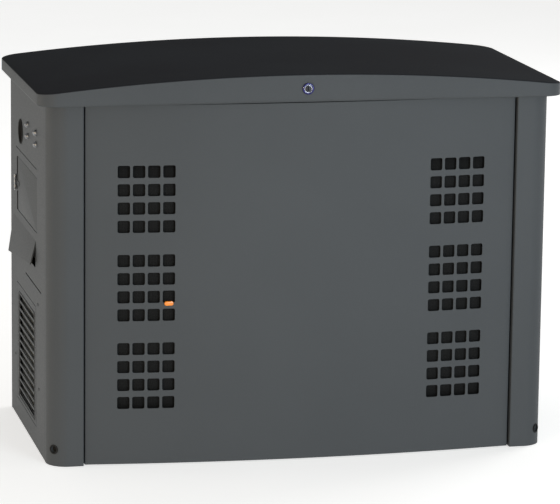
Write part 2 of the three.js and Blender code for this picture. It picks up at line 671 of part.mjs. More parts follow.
buildFrontPanel();
buildPost('post_front_left', -1, -1, postFrontY, frontCornerR, -sideFrontY, 24);
buildPost('post_front_right', 1, -1, postFrontY, frontCornerR, -sideFrontY, 24);
buildPost('post_rear_left', -1, 1, rearY, rearCornerR, sideRearY, 3.2);
buildPost('post_rear_right', 1, 1, rearY, rearCornerR, sideRearY, 3.2);
buildLeftPanel();
buildSideFittings();
buildSideDoor();
buildRightPanel();
buildRearPanel();
buildFrame();
buildLid();
buildLock();
buildLidHinges();
buildStrut();
buildControlBox();
buildBreakerBox();
buildBattery();
buildEngineBlock();
buildCylinder('front', -118, Math.PI / 4);
buildCylinder('rear', -62, -Math.PI / 4);
buildFan();
buildAlternator();
buildEngineFittings();
buildGasLine();
buildExhaust();

export default generator;
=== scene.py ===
import math
import bmesh
import bpy
import numpy as np
from mathutils import Matrix


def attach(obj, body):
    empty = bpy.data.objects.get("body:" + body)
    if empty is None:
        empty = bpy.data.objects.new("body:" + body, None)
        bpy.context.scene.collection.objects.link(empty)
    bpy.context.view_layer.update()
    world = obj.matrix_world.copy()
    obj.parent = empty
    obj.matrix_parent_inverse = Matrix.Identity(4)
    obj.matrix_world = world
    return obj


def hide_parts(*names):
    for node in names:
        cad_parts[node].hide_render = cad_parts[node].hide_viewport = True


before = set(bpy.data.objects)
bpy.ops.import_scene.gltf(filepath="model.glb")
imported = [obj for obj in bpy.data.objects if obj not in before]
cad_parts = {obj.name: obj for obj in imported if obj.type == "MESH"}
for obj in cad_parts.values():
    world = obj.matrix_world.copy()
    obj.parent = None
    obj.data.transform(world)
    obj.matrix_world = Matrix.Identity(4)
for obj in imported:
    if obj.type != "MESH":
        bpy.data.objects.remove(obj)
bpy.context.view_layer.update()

# Lengths below are millimetres in the CAD part's axes: +Z up, front towards -Y.
scene = bpy.context.scene
mm = 0.001
print("frame loaded:", len(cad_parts), "nodes")

# Camera, light and floor.

cameraSetup = {
    "target": (-68.2, -256.0, 421.3), "distance": 6933.9,  # the point it looks at and how far off it stands
    "yaw": 12.54, "pitch": 11.45, "roll": 0.647,  # degrees to the object's left, above it, and of tilt
    "lens": 218.17, "shiftX": 0.0202, "shiftY": 0.0092,
}
studio = {
    "sky": "#ffffff", "skyStrength": 0.4, "backdropStrength": 1.0,  # light from the sky, and the sky itself as seen
    "floor": "#f1f1ef", "floorDust": "#e9e9e6", "floorGlow": 0.53, "floorSize": 24000.0,
    "lights": (  # name, place, size, watts, colour, aimed at the object's middle
        ("keyLeft", (-4300, 1100, 350), 1500, 40, "#fff3e2"),
        ("warmCorner", (-2900, -3700, 700), 600, 42, "#ffe2b8"),
        ("fillFront", (1900, -5600, 1200), 2200, 148, "#e4f3ff"),
        ("rimRight", (4200, 2600, 2400), 2400, 95, "#ffffff"),
    ),
}


def hexColour(code):
    # sRGB to linear light: a straight line near black, then a power of 2.4
    srgb = np.array([int(code[i:i + 2], 16) for i in (1, 3, 5)]) / 255
    linear = np.where(srgb <= 0.04045, srgb / 12.92, ((srgb + 0.055) / 1.055) ** 2.4)
    return (*linear.tolist(), 1.0)


def addNode(tree, kind, inputs=None, **settings):
    made = tree.nodes.new(kind)
    for key, value in settings.items():
        setattr(made, key, value)
    for socket, value in (inputs or {}).items():
        if isinstance(value, bpy.types.NodeSocket):
            tree.links.new(value, made.inputs[socket])
        else:
            made.inputs[socket].default_value = value
    return made


def buildCamera(v):
    yaw, pitch, roll = (math.radians(v[key]) for key in ("yaw", "pitch", "roll"))
    back = np.array([-math.sin(yaw) * math.cos(pitch), -math.cos(yaw) * math.cos(pitch), math.sin(pitch)])
    level = np.array([math.cos(yaw), -math.sin(yaw), 0.0])
    upright = np.cross(back, level)
    right = math.cos(roll) * level + math.sin(roll) * upright
    up = -math.sin(roll) * level + math.cos(roll) * upright
    camera = bpy.data.objects.new("camera", bpy.data.cameras.new("camera"))
    turn = Matrix(np.column_stack([right, up, back]).tolist()).to_4x4()
    place = (np.array(v["target"]) + back * v["distance"]) * mm
    camera.matrix_world = Matrix.Translation(place.tolist()) @ turn
    camera.data.lens, camera.data.sensor_width = v["lens"], 36.0
    camera.data.shift_x, camera.data.shift_y = v["shiftX"], v["shiftY"]
    camera.data.clip_end = 60.0
    scene.collection.objects.link(camera)
    scene.camera = camera


def buildStudio(v):
    world = bpy.data.worlds.new("studio")
    world.use_nodes = True
    tree = world.node_tree
    sky = tree.nodes["Background"]
    sky.inputs["Color"].default_value = hexColour(v["sky"])
    ray = addNode(tree, "ShaderNodeLightPath")
    level = addNode(tree, "ShaderNodeMapRange", {"Value": ray.outputs["Is Camera Ray"], "To Min": v["skyStrength"],
                                                 "To Max": v["backdropStrength"]})
    tree.links.new(level.outputs["Result"], sky.inputs["Strength"])
    scene.world = world
    scene.view_settings.view_transform = "Standard"
    middle = np.array([0.0, 0.0, 400.0])
    for name, place, size, watts, tint in v["lights"]:
        light = bpy.data.lights.new(name, "AREA")
        light.size, light.energy = size * mm, watts
        light.color = hexColour(tint)[:3]
        lamp = bpy.data.objects.new(name, light)
        away = np.array(place) - middle
        side = np.cross([0.0, 0.0, 1.0], away)
        side /= np.linalg.norm(side)
        away /= np.linalg.norm(away)
        turn = Matrix(np.column_stack([side, np.cross(away, side), away]).tolist()).to_4x4()
        lamp.matrix_world = Matrix.Translation([p * mm for p in place]) @ turn
        scene.collection.objects.link(lamp)
    half = v["floorSize"] / 2 * mm
    mesh = bpy.data.meshes.new("floor")
    mesh.from_pydata([(-half, -half, -0.0003), (half, -half, -0.0003), (half, half, -0.0003),
                      (-half, half, -0.0003)], [], [(0, 1, 2, 3)])
    floor = bpy.data.objects.new("floor", mesh)
    scene.collection.objects.link(floor)
    material = bpy.data.materials.new("paleVinylFloor")  # a soft matt studio floor, faintly uneven
    material.use_nodes = True
    tree = material.node_tree
    place = addNode(tree, "ShaderNodeTexCoord")
    dust = addNode(tree, "ShaderNodeTexNoise", {"Vector": place.outputs["Object"], "Scale": 3.0, "Detail": 4.0})
    tone = addNode(tree, "ShaderNodeMix", {0: dust.outputs["Fac"], 6: hexColour(v["floor"]),
                                           7: hexColour(v["floorDust"])}, data_type="RGBA")
    shader = tree.nodes["Principled BSDF"]
    tree.links.new(tone.outputs[2], shader.inputs["Base Color"])
    shader.inputs["Roughness"].default_value = 0.75
    shader.inputs["Specular IOR Level"].default_value = 0.2
    shader.inputs["Emission Color"].default_value = hexColour("#ffffff")  # the table is lit from below as well
    shader.inputs["Emission Strength"].default_value = v["floorGlow"]
    mesh.materials.append(material)


buildCamera(cameraSetup)
buildStudio(studio)
print("studio ready:", len(studio["lights"]), "lights")

# Finishes. Each pattern's size is a real length in millimetres.


def scaleOf(size):
    return 1.0 / (size * mm)  # noise repeats about once in a unit divided by its scale


def finish(name, tone, shade, rough, metal=0.0, specular=0.5, ior=1.5, patch=150.0, grain=2.0, relief=0.03,
           spread=0.06, stretch=(1, 1, 1), coat=0.0, sheen=0.0, detail=3.0, contrast=(0.35, 0.65)):
    # tone fades into shade in soft patches; a fine grain dents the surface and varies its roughness
    material = bpy.data.materials.new(name)
    material.use_nodes = True
    tree = material.node_tree
    shader = tree.nodes["Principled BSDF"]
    place = addNode(tree, "ShaderNodeTexCoord")
    spot = addNode(tree, "ShaderNodeMapping", {"Vector": place.outputs["Object"], "Scale": stretch})
    patches = addNode(tree, "ShaderNodeTexNoise", {"Vector": spot.outputs["Vector"], "Scale": scaleOf(patch),
                                                   "Detail": detail})
    share = addNode(tree, "ShaderNodeMapRange", {"Value": patches.outputs["Fac"], "From Min": contrast[0],
                                                 "From Max": contrast[1]})
    mixed = addNode(tree, "ShaderNodeMix", {0: share.outputs["Result"], 6: hexColour(tone),
                                            7: hexColour(shade)}, data_type="RGBA")
    fine = addNode(tree, "ShaderNodeTexNoise", {"Vector": spot.outputs["Vector"], "Scale": scaleOf(grain),
                                                "Detail": 2.0})
    gloss = addNode(tree, "ShaderNodeMapRange", {"Value": fine.outputs["Fac"], "From Min": 0.3, "From Max": 0.7,
                                                 "To Min": rough - spread, "To Max": min(1.0, rough + spread)})
    bump = addNode(tree, "ShaderNodeBump", {"Height": fine.outputs["Fac"], "Strength": 0.6,
                                            "Distance": relief * mm})
    tree.links.new(mixed.outputs[2], shader.inputs["Base Color"])
    tree.links.new(gloss.outputs["Result"], shader.inputs["Roughness"])
    tree.links.new(bump.outputs["Normal"], shader.inputs["Normal"])
    shader.inputs["Metallic"].default_value = metal
    if metal < 0.5:
        shader.inputs["IOR"].default_value = ior
        shader.inputs["Specular IOR Level"].default_value = specular
    shader.inputs["Coat Weight"].default_value = coat
    shader.inputs["Sheen Weight"].default_value = sheen
    return material


def wovenMesh(name, wire, hole, pitch, rough, ways):
    # two sets of ridges crossing at right angles; between the ridges the colour given as hole is painted shade,
    # standing for the dark seen through the gaps
    material = bpy.data.materials.new(name)
    material.use_nodes = True
    tree = material.node_tree
    shader = tree.nodes["Principled BSDF"]
    place = addNode(tree, "ShaderNodeTexCoord")
    bands = [addNode(tree, "ShaderNodeTexWave", {"Vector": place.outputs["Object"],
                                                 "Scale": math.pi / 10 / (pitch * mm)},
                     bands_direction=way).outputs["Fac"] for way in ways]
    ridge = addNode(tree, "ShaderNodeMath", {0: bands[0], 1: bands[1]}, operation="MAXIMUM")
    share = addNode(tree, "ShaderNodeMapRange", {"Value": ridge.outputs[0], "From Min": 0.55, "From Max": 0.9})
    mixed = addNode(tree, "ShaderNodeMix", {0: share.outputs["Result"], 6: hexColour(hole),
                                            7: hexColour(wire)}, data_type="RGBA")
    bump = addNode(tree, "ShaderNodeBump", {"Height": share.outputs["Result"], "Distance": 0.4 * mm,
                                            "Strength": 0.8})
    tree.links.new(mixed.outputs[2], shader.inputs["Base Color"])
    tree.links.new(bump.outputs["Normal"], shader.inputs["Normal"])
    shader.inputs["Roughness"].default_value = rough
    shader.inputs["Specular IOR Level"].default_value = 0.2
    return material


finishes = {
    # worn zinc on a steel bolt: a grey metal whose highlight stays small
    "dullZinc": finish("dullZincPlatedSteel", "#808284", "#747577", 0.32, metal=1.0, patch=12, grain=1.0, relief=0.02),
    # polyester powder coat on steel: satin, with an orange peel of about 3 mm that softens every highlight
    "greyPaint": finish("powderCoatedSteel", "#434648", "#404345", 0.6, specular=0.25, patch=400, grain=3.0,
                        relief=0.02),
    # fine-textured powder coat: grains of 1 mm, drawn at 2.5 mm to show, that keep the roof nearly without gloss
    "lidPaint": finish("texturedPowderCoatedSteel", "#2b2d30", "#28292c", 0.9, specular=0.04, patch=300,
                       grain=2.5, relief=0.06, spread=0.05),
    # semi-gloss black enamel on chassis steel: a darker, smoother sheen than the powder coat
    "blackPaint": finish("blackEnamelledSteel", "#202122", "#191a1b", 0.45, specular=0.4, patch=120, grain=4.0,
                         relief=0.02),
    # moulded polypropylene: spark-eroded texture of about 1 mm, drawn at 2 mm
    "blackPlastic": finish("mouldedPolypropylene", "#1d1e20", "#232427", 0.5, specular=0.45, patch=60, grain=2.0,
                           relief=0.04),
    # vulcanised rubber: almost no shine and a dusty bloom
    "rubber": finish("vulcanisedRubber", "#121212", "#1d1c1b", 0.85, specular=0.3, patch=35, grain=1.5,
                     relief=0.05),
    # open-cell polyurethane foam: cells of 2 mm, drawn at 4 mm, and no shine
    "foam": finish("openCellFoam", "#2b2b2d", "#1b1b1c", 0.97, specular=0.1, patch=20, grain=4.0, relief=0.8,
                   sheen=0.1),
    # zinc plate on steel: bright grey with faint cloudy spangle of 15 mm
    "zincSteel": finish("zincPlatedSteel", "#b9bcbd", "#9fa3a6", 0.34, metal=1.0, patch=15, grain=1.5,
                        relief=0.01, spread=0.08),
    # stainless steel of the dome heads: bright, with a soft machined bloom
    "stainless": finish("stainlessSteel", "#d8dadb", "#c4c6c8", 0.22, metal=1.0, patch=6, grain=1.0, relief=0.005),
    # blue anodised zinc alloy of the lock's bezel: saturated and glassy
    "lockBlue": finish("blueAnodisedAlloy", "#141257", "#100e46", 0.28, metal=0.7, patch=8, grain=1.0,
                       relief=0.004, coat=0.4),
    # chromed lock face: a mirror that only fine wipes dull
    "lockSilver": finish("chromePlate", "#cfcfd8", "#bdbdc9", 0.12, metal=1.0, patch=5, grain=1.0, relief=0.003,
                         spread=0.05),
    # machined steel shaft: turning marks run round it, drawn 1 mm apart
    "machinedSteel": finish("machinedSteel", "#a9aaab", "#8d8f91", 0.3, metal=1.0, patch=9, grain=1.0,
                            relief=0.01, stretch=(6, 1, 1)),
    # sand-cast aluminium: a pebbled skin of 3 mm grains that breaks up its shine
    "castAluminium": finish("sandCastAluminium", "#a3a5a6", "#85878a", 0.52, metal=0.9, patch=45, grain=3.0,
                            relief=0.15, spread=0.1),
    # turned brass: warm, with tarnish in patches
    "brass": finish("turnedBrass", "#c39a52", "#a07a3a", 0.3, metal=1.0, patch=18, grain=1.2, relief=0.008),
    # orange nylon: mould texture and a waxy sheen
    "orangePlastic": finish("mouldedNylonOrange", "#f08a1d", "#e27a12", 0.4, patch=12, grain=1.5, relief=0.02),
    # tinted acrylic lens: the same orange, glossy and brighter
    "orangeLens": finish("tintedAcrylicLens", "#f28a1c", "#ea8014", 0.25, patch=12, grain=1.5, relief=0.005, coat=0.6),
    # painted oil-filter can: amber enamel, smooth
    "filterPaint": finish("enamelledCan", "#c98a2c", "#ba7c22", 0.32, patch=40, grain=4.0, relief=0.01, coat=0.3),
    # aluminised exhaust steel after use: straw and brown heat tint in patches of 70 mm
    "exhaustSteel": finish("heatTintedSteel", "#8f8a82", "#6d5d4c", 0.45, metal=0.9, patch=70, grain=2.5,
                           relief=0.03, spread=0.12, contrast=(0.25, 0.75)),
    # acrylic window over an unlit display: dark and glossy
    "displayGlass": finish("acrylicWindow", "#0c1a1f", "#0a1518", 0.08, patch=80, grain=6.0, relief=0.002,
                           spread=0.03, coat=1.0),
    # moulded ABS button caps: glossy, with a slight mottling
    "redPlastic": finish("mouldedAbsRed", "#b3241b", "#a31d15", 0.3, patch=9, grain=1.5, relief=0.01),
    "whitePlastic": finish("mouldedAbsWhite", "#dcdcd8", "#d1d1cc", 0.32, patch=9, grain=1.5, relief=0.01),
    "greenPlastic": finish("mouldedAbsGreen", "#2f8f45", "#277d3b", 0.3, patch=9, grain=1.5, relief=0.01),
    # black-coated woven wire, 3 mm mesh: barely lighter ridges over painted shade in the gaps. The front copy keeps the
    # black of the coating; the side copy is the same black mesh lightened to mid grey, painted light where it sits
    # close behind the slots
    "frontMesh": wovenMesh("blackWireMeshFrontPaintedShade", "#111212", "#060606", 3.2, 0.75, ("X", "Z")),
    "sideMesh": wovenMesh("blackWireMeshSidePaintedLight", "#62635e", "#282927", 3.2, 0.75, ("Y", "Z")),
}
slotFinish = {
    "grey_paint": "greyPaint", "lid_paint": "lidPaint", "black_paint": "blackPaint",
    "black_plastic": "blackPlastic", "rubber": "rubber", "foam": "foam", "zinc_steel": "zincSteel",
    "lock_blue": "lockBlue", "lock_silver": "lockSilver", "machined_steel": "machinedSteel",
    "cast_aluminium": "castAluminium", "valve_brass": "brass", "orange_plastic": "orangePlastic",
    "filter_paint": "filterPaint", "exhaust_steel": "exhaustSteel", "display_glass": "displayGlass",
    "red_plastic": "redPlastic", "white_plastic": "whitePlastic", "green_plastic": "greenPlastic",
}
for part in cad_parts.values():  # every CAD part takes the finish of its slot
    for holder in part.material_slots:
        holder.material = finishes[slotFinish[holder.material.name.split(".")[0]]]
print("finishes made:", len(finishes))

# Shapes. A shell is (points, faces, finish name); a piece is one or more shells.


def gridShell(points, finishName, loopRows=False, loopColumns=False, caps=False):
    # each face joins a point, its neighbour in the next row, the one diagonal to it and the one beside it
    rows, columns = points.shape[:2]
    i, j = np.meshgrid(np.arange(rows - (not loopRows)), np.arange(columns - (not loopColumns)), indexing="ij")
    iNext, jNext = (i + 1) % rows, (j + 1) % columns
    faces = np.stack([i * columns + j, iNext * columns + j, iNext * columns + jNext, i * columns + jNext], -1)
    faces = faces.reshape(-1, 4).tolist()
    if caps:  # the first and last rows close as flat ends
        ends = np.arange(columns)
        faces += [ends[::-1].tolist(), (ends + (rows - 1) * columns).tolist()]
    return points.reshape(-1, 3), faces, finishName


def softened(points, radius, steps=4, closed=False, room=0.49):
    # each corner becomes the circular arc of that radius that touches both its sides
    corners = np.asarray(points, float)
    before, after = np.roll(corners, 1, 0) - corners, np.roll(corners, -1, 0) - corners
    if not closed:
        before[0], after[-1] = -after[0], -before[-1]
    lengthBefore = np.linalg.norm(before, axis=1, keepdims=True)
    lengthAfter = np.linalg.norm(after, axis=1, keepdims=True)
    before, after = before / lengthBefore, after / lengthAfter
    turn = np.clip(-(before * after).sum(1, keepdims=True), -0.999, 1.0)
    wanted = np.broadcast_to(np.asarray(radius, float), len(corners))[:, None]
    setback = wanted * np.sqrt((1 - turn) / (1 + turn))
    setback = np.minimum(setback, room * np.minimum(lengthBefore, lengthAfter))
    if not closed:
        setback[0], setback[-1] = 0, 0
    start, end = corners + before * setback, corners + after * setback
    weight = np.sqrt((1 + turn) / 2)[..., None]
    s = np.linspace(0, 1, steps + 1)[None, :, None]
    blend = (1 - s) ** 2 + 2 * weight * s * (1 - s) + s ** 2
    curve = start[:, None] * (1 - s) ** 2 + corners[:, None] * 2 * weight * s * (1 - s) + end[:, None] * s ** 2
    curve = (curve / blend).reshape(-1, 2)
    moved = np.linalg.norm(np.diff(curve, axis=0), axis=1) > 1e-6
    return curve[np.concatenate([[True], moved])]


def box2(a0, a1, b0, b1):
    return np.array([(a0, b0), (a1, b0), (a1, b1), (a0, b1)], float)


def ringOf(a, b, radius, steps=32):
    angle = np.linspace(0, 2 * math.pi, steps, endpoint=False)
    return np.stack([a + radius * np.cos(angle), b + radius * np.sin(angle)], 1)


axisOrder = {"x": (1, 2, 0), "y": (0, 2, 1), "z": (0, 1, 2)}  # where an outline's two numbers and its depth go


def placed(outline, depth, along):
    points = np.empty((len(outline), 3))
    first, second, third = axisOrder[along]
    points[:, first], points[:, second], points[:, third] = outline[:, 0], outline[:, 1], depth
    return points


def prism(outline, along, low, high, finishName, edge=0.0):
    # an outline carried along an axis; with an edge, both ends shrink towards the middle in a quarter round
    outline = np.asarray(outline, float)
    if edge <= 0:
        rows = [placed(outline, low, along), placed(outline, high, along)]
        return gridShell(np.stack(rows), finishName, loopColumns=True, caps=True)
    inward = inset(outline)
    angles = np.linspace(0, math.pi / 2, 4)
    rows = [placed(outline + inward * edge * (1 - math.sin(t)), low + edge * (1 - math.cos(t)), along) for t in angles]
    rows += [placed(outline + inward * edge * (1 - math.sin(t)), high - edge * (1 - math.cos(t)), along)
             for t in angles[::-1]]
    return gridShell(np.stack(rows), finishName, loopColumns=True, caps=True)


def inset(outline):
    # for each point, the step inwards that moves both its sides in by one
    before, after = outline - np.roll(outline, 1, 0), np.roll(outline, -1, 0) - outline
    before, after = (side / np.linalg.norm(side, axis=1, keepdims=True) for side in (before, after))
    area = (outline[:, 0] * np.roll(outline[:, 1], -1) - np.roll(outline[:, 0], -1) * outline[:, 1]).sum()
    normal = np.stack([-(before + after)[:, 1], (before + after)[:, 0]], 1) * np.sign(area)
    normal /= np.linalg.norm(normal, axis=1, keepdims=True)
    sideNormal = np.stack([-after[:, 1], after[:, 0]], 1) * np.sign(area)
    return normal / np.maximum((normal * sideNormal).sum(1, keepdims=True), 0.35)


def turned(profile, axis, centre, finishName, steps=48, closed=False):
    # a point at distance a along the axis and r out from it is carried round: centre + a axis + r (cos side + sin up)
    profile = np.asarray(profile, float)
    axis = np.asarray(axis, float) / np.linalg.norm(axis)
    side = np.cross(axis, [0.0, 0.0, 1.0] if abs(axis[2]) < 0.9 else [1.0, 0.0, 0.0])
    side /= np.linalg.norm(side)
    up = np.cross(axis, side)
    angle = np.linspace(0, 2 * math.pi, steps, endpoint=False)[None, :, None]
    reach = profile[:, 1][:, None, None]
    points = np.asarray(centre, float) + profile[:, 0][:, None, None] * axis
    points = points + reach * (np.cos(angle) * side + np.sin(angle) * up)
    return gridShell(points, finishName, loopRows=closed, loopColumns=True)


def swept(path, section, finishName, upward=(0, 0, 1), closed=False):
    # a flat section carried along a path, held upright by one fixed direction
    path, section = np.asarray(path, float), np.asarray(section, float)
    if closed:
        run = np.roll(path, -1, 0) - np.roll(path, 1, 0)
    else:
        run = np.gradient(path, axis=0)
    run /= np.linalg.norm(run, axis=1, keepdims=True)
    side = np.cross(run, upward)
    side /= np.linalg.norm(side, axis=1, keepdims=True)
    up = np.cross(side, run)
    points = path[:, None] + section[None, :, :1] * side[:, None] + section[None, :, 1:] * up[:, None]
    return gridShell(points, finishName, loopRows=closed, loopColumns=True, caps=not closed)


def smoothPath(points, steps=8):
    # Catmull-Rom: a cubic through every point whose slope there follows its two neighbours
    points = np.asarray(points, float)
    held = np.concatenate([2 * points[:1] - points[1:2], points, 2 * points[-1:] - points[-2:-1]])
    a, b, c, d = (held[k:len(held) - 3 + k][:, None] for k in range(4))
    t = np.linspace(0, 1, steps, endpoint=False)[None, :, None]
    curve = 0.5 * (2 * b + (c - a) * t + (2 * a - 5 * b + 4 * c - d) * t ** 2 + (3 * b - a - 3 * c + d) * t ** 3)
    return np.concatenate([curve.reshape(-1, points.shape[1]), points[-1:]])


def moved(shell, shift=(0, 0, 0), turn=None):
    # a shell turned about the origin by a 3 x 3 matrix, then shifted
    points = shell[0] if turn is None else shell[0] @ np.asarray(turn).T
    return points + np.asarray(shift, float), shell[1], shell[2]


def turnX(angle):
    return np.array([(1, 0, 0), (0, math.cos(angle), -math.sin(angle)), (0, math.sin(angle), math.cos(angle))])


def turnY(angle):
    return np.array([(math.cos(angle), 0, math.sin(angle)), (0, 1, 0), (-math.sin(angle), 0, math.cos(angle))])


def addPiece(name, shells, body, replaces=(), sharp=32.0, wall=0.0, bevel=0.0, facing=None, bevelSteps=2):
    offsets = np.cumsum([0] + [len(shell[0]) for shell in shells])
    points = np.concatenate([shell[0] for shell in shells]) * mm
    faces = [[corner + int(offset) for corner in face] for shell, offset in zip(shells, offsets) for face in shell[1]]
    names = list(dict.fromkeys(shell[2] for shell in shells))
    mesh = bpy.data.meshes.new(name)
    mesh.from_pydata(points.tolist(), [], faces)
    for finishName in names:
        mesh.materials.append(finishes[finishName])
    index = np.concatenate([np.full(len(shell[1]), names.index(shell[2])) for shell in shells])
    mesh.polygons.foreach_set("material_index", index.astype(np.int32))
    made = bmesh.new()
    made.from_mesh(mesh)
    bmesh.ops.remove_doubles(made, verts=made.verts, dist=1e-6)
    bmesh.ops.dissolve_degenerate(made, edges=made.edges, dist=1e-7)
    if facing is None:  # closed shells turn their faces outwards
        bmesh.ops.recalc_face_normals(made, faces=made.faces)
    made.to_mesh(mesh)
    made.free()
    if facing is not None:  # an open sheet faces one way before its wall gets its thickness
        normals = np.zeros(len(mesh.polygons) * 3, np.float32)
        mesh.polygons.foreach_get("normal", normals)
        if (normals.reshape(-1, 3) @ np.asarray(facing, float)).sum() < 0:
            mesh.flip_normals()
    mesh.shade_smooth()
    mesh.set_sharp_from_angle(angle=math.radians(sharp))
    piece = bpy.data.objects.new(name, mesh)
    scene.collection.objects.link(piece)
    if wall > 0:
        solid = piece.modifiers.new("wall", "SOLIDIFY")
        solid.thickness, solid.offset, solid.use_even_offset = wall * mm, -1.0, True
    if bevel > 0:
        edge = piece.modifiers.new("edge", "BEVEL")
        edge.width, edge.segments, edge.limit_method = bevel * mm, bevelSteps, "ANGLE"
        edge.angle_limit, edge.harden_normals = math.radians(40), True
        edge.use_clamp_overlap = True
    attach(piece, body)
    if replaces:
        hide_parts(*replaces)
    return piece


def domeHead(place, normal, radius, height, finishName, washer=0.0):
    # a button head: a washer, a short rim and an elliptical dome
    angle = np.linspace(0, math.pi / 2, 7)
    dome = np.stack([washer * 0.8 + height * np.sin(angle), radius * np.cos(angle)], 1)
    start = [(-0.3, 0), (-0.3, radius + washer), (washer * 0.8, radius + washer)] if washer else [(-0.3, 0),
                                                                                             (-0.3, radius)]
    return turned(np.concatenate([start, dome]), normal, place, finishName, 24)


def hexHead(place, normal, across, height, finishName):
    # a hexagon head with a chamfered top, on a round flange
    flange = turned([(-0.2, 0), (-0.2, across * 0.72), (1.0, across * 0.7), (1.4, across * 0.5)], normal, place,
                    finishName, 24)
    head = turned([(1.0, 0), (1.0, across / 1.732), (height - 0.8, across / 1.732), (height, across * 0.5),
                   (height, 0)], normal, place, finishName, 6)
    return [flange, head]

# Enclosure.

enclosure = {
    "sheet": 2.0, "fold": 2.5,  # steel thickness and the outside radius of a fold
    "seamHalfX": 450.0, "gap": 1.5, "seamY": -256.0, "bow": 26.5, "returnDepth": 16.0,
    "footZ": 1.0, "topZ": 743.0, "bodyHalfX": 524.0, "postFrontY": -264.0, "rearY": 269.0,
    "frontCornerR": 42.0, "rearCornerR": 16.0, "sideFrontY": -208.5, "sideRearY": 250.0,
}
vents = {
    "side": 25.0, "corner": 3.6, "pitchX": 30.6, "pitchZ": 37.5, "outerX": 370.3, "topZ": 607.5,
    "groupPitch": 182.75, "columns": 4, "rows": 4, "splits": 8,  # splits: mesh steps along one side of a vent's cell
}


def bowY(x, v):
    # an arc through both seams that stands forward of them by the bow
    arcRadius = (v["seamHalfX"] ** 2 + v["bow"] ** 2) / (2 * v["bow"])
    return v["seamY"] - (np.sqrt(arcRadius ** 2 - np.asarray(x) ** 2) - math.sqrt(arcRadius ** 2 - v["seamHalfX"] ** 2))


def ventCentres(v, groups):
    side, group, row, column = np.meshgrid([-1, 1], groups, np.arange(v["rows"]), np.arange(v["columns"]),
                                           indexing="ij")
    x = side * (v["outerX"] - column * v["pitchX"])
    z = v["topZ"] - group * v["groupPitch"] - row * v["pitchZ"]
    return np.stack([x.ravel(), z.ravel()], 1)


def squareRing(v):
    # a rounded square walked from its lower left corner; each corner arc has four steps
    half, r = v["side"] / 2, v["corner"]
    angle = np.radians([225, 247.5, 270])
    left = np.stack([-half + r + r * np.cos(angle), -half + r + r * np.sin(angle)], 1)
    middle = np.stack([np.linspace(-half + r, half - r, 5)[1:-1], np.full(3, -half)], 1)
    angle = np.radians([270, 292.5])
    right = np.stack([half - r + r * np.cos(angle), -half + r + r * np.sin(angle)], 1)
    side = np.concatenate([left, middle, right])
    quarter = [side @ np.array([(math.cos(t), math.sin(t)), (-math.sin(t), math.cos(t))])
               for t in np.arange(4) * math.pi / 2]
    return np.concatenate(quarter)


def ventedSkin(cells, rings, cellHalf, lineX, lineZ, planAt, endPlan):
    # A grid over a plan path and the height. Where a cell sits, its rectangle is joined ring by ring to the hole in it.
    n = vents["splits"]
    step = np.arange(n + 1) / n * 2 - 1
    xs = np.unique(np.round(np.concatenate([lineX, (cells[:, :1] + step * cellHalf[:, :1]).ravel()]), 3))
    zs = np.unique(np.round(np.concatenate([lineZ, (cells[:, 1:] + step * cellHalf[:, 1:]).ravel()]), 3))
    plan = planAt(xs)
    lead = len(endPlan)
    if lead:
        plan = np.concatenate([endPlan, plan, (endPlan * (-1, 1))[::-1]])
    columns, rows = len(plan), len(zs)
    grid = np.empty((columns, rows, 3))
    grid[:, :, :2] = plan[:, None]
    grid[:, :, 2] = zs
    firstColumn = np.searchsorted(xs, np.round(cells[:, 0] - cellHalf[:, 0], 3)) + lead
    firstRow = np.searchsorted(zs, np.round(cells[:, 1] - cellHalf[:, 1], 3))
    walk = np.arange(n)
    across = np.concatenate([walk, np.full(n, n), n - walk, np.zeros(n, int)])
    rise = np.concatenate([np.zeros(n, int), walk, np.full(n, n), n - walk])
    border = (firstColumn[:, None] + across) * rows + firstRow[:, None] + rise
    hole = cells[:, None] + rings
    rim = np.stack([xs[firstColumn[:, None] - lead + across], zs[firstRow[:, None] + rise]], -1)
    loops = [rim * (1 - share) + hole * share for share in (0.7, 1.0)]
    extra = np.stack([np.concatenate([planAt(loop[..., 0]), loop[..., 1:]], -1) for loop in loops])
    base = columns * rows
    size = border.size
    ringIndex = [border, base + np.arange(size).reshape(border.shape),
                 base + size + np.arange(size).reshape(border.shape)]
    faces = [np.stack([a, np.roll(a, -1, 1), np.roll(b, -1, 1), b], -1).reshape(-1, 4)
             for a, b in zip(ringIndex[:-1], ringIndex[1:])]
    kept = np.ones((columns - 1, rows - 1), bool)
    inside = firstColumn[:, None, None] + walk[:, None], firstRow[:, None, None] + walk[None, :]
    kept[inside] = False
    i, j = np.nonzero(kept)
    plain = np.stack([i * rows + j, (i + 1) * rows + j, (i + 1) * rows + j + 1, i * rows + j + 1], 1)
    points = np.concatenate([grid.reshape(-1, 3), extra.reshape(-1, 3)])
    return points, np.concatenate([plain, *faces]).tolist(), "greyPaint"


def buildFrontPanel(v):
    cells = ventCentres(vents, [0, 1, 2])
    half = np.tile([vents["pitchX"] / 2, vents["pitchZ"] / 2], (len(cells), 1))
    edge = v["seamHalfX"] - v["gap"]
    corner = softened([(-edge, v["seamY"] + v["returnDepth"]), (-edge, bowY(edge, v)),
                       (-edge + 14, bowY(edge - 14, v))], v["fold"], 5)[:-1]
    lineX = np.concatenate([np.linspace(-edge + 14, -400, 3), np.linspace(-263.2, 263.2, 21),
                            np.linspace(400, edge - 14, 3)])
    lineZ = np.concatenate([[v["footZ"], v["footZ"] + 3, v["topZ"] - 3, v["topZ"]], np.linspace(30, 90, 3), [700.0]])
    rings = np.tile(squareRing(vents), (len(cells), 1, 1))
    shell = ventedSkin(cells, rings, half, lineX, lineZ, lambda x: np.stack([x, bowY(x, v)], -1), corner)
    return addPiece("frontSkin", [shell], "front_panel", ["front_panel"], wall=v["sheet"], bevel=0.45,
                    facing=(0, -1, 0))


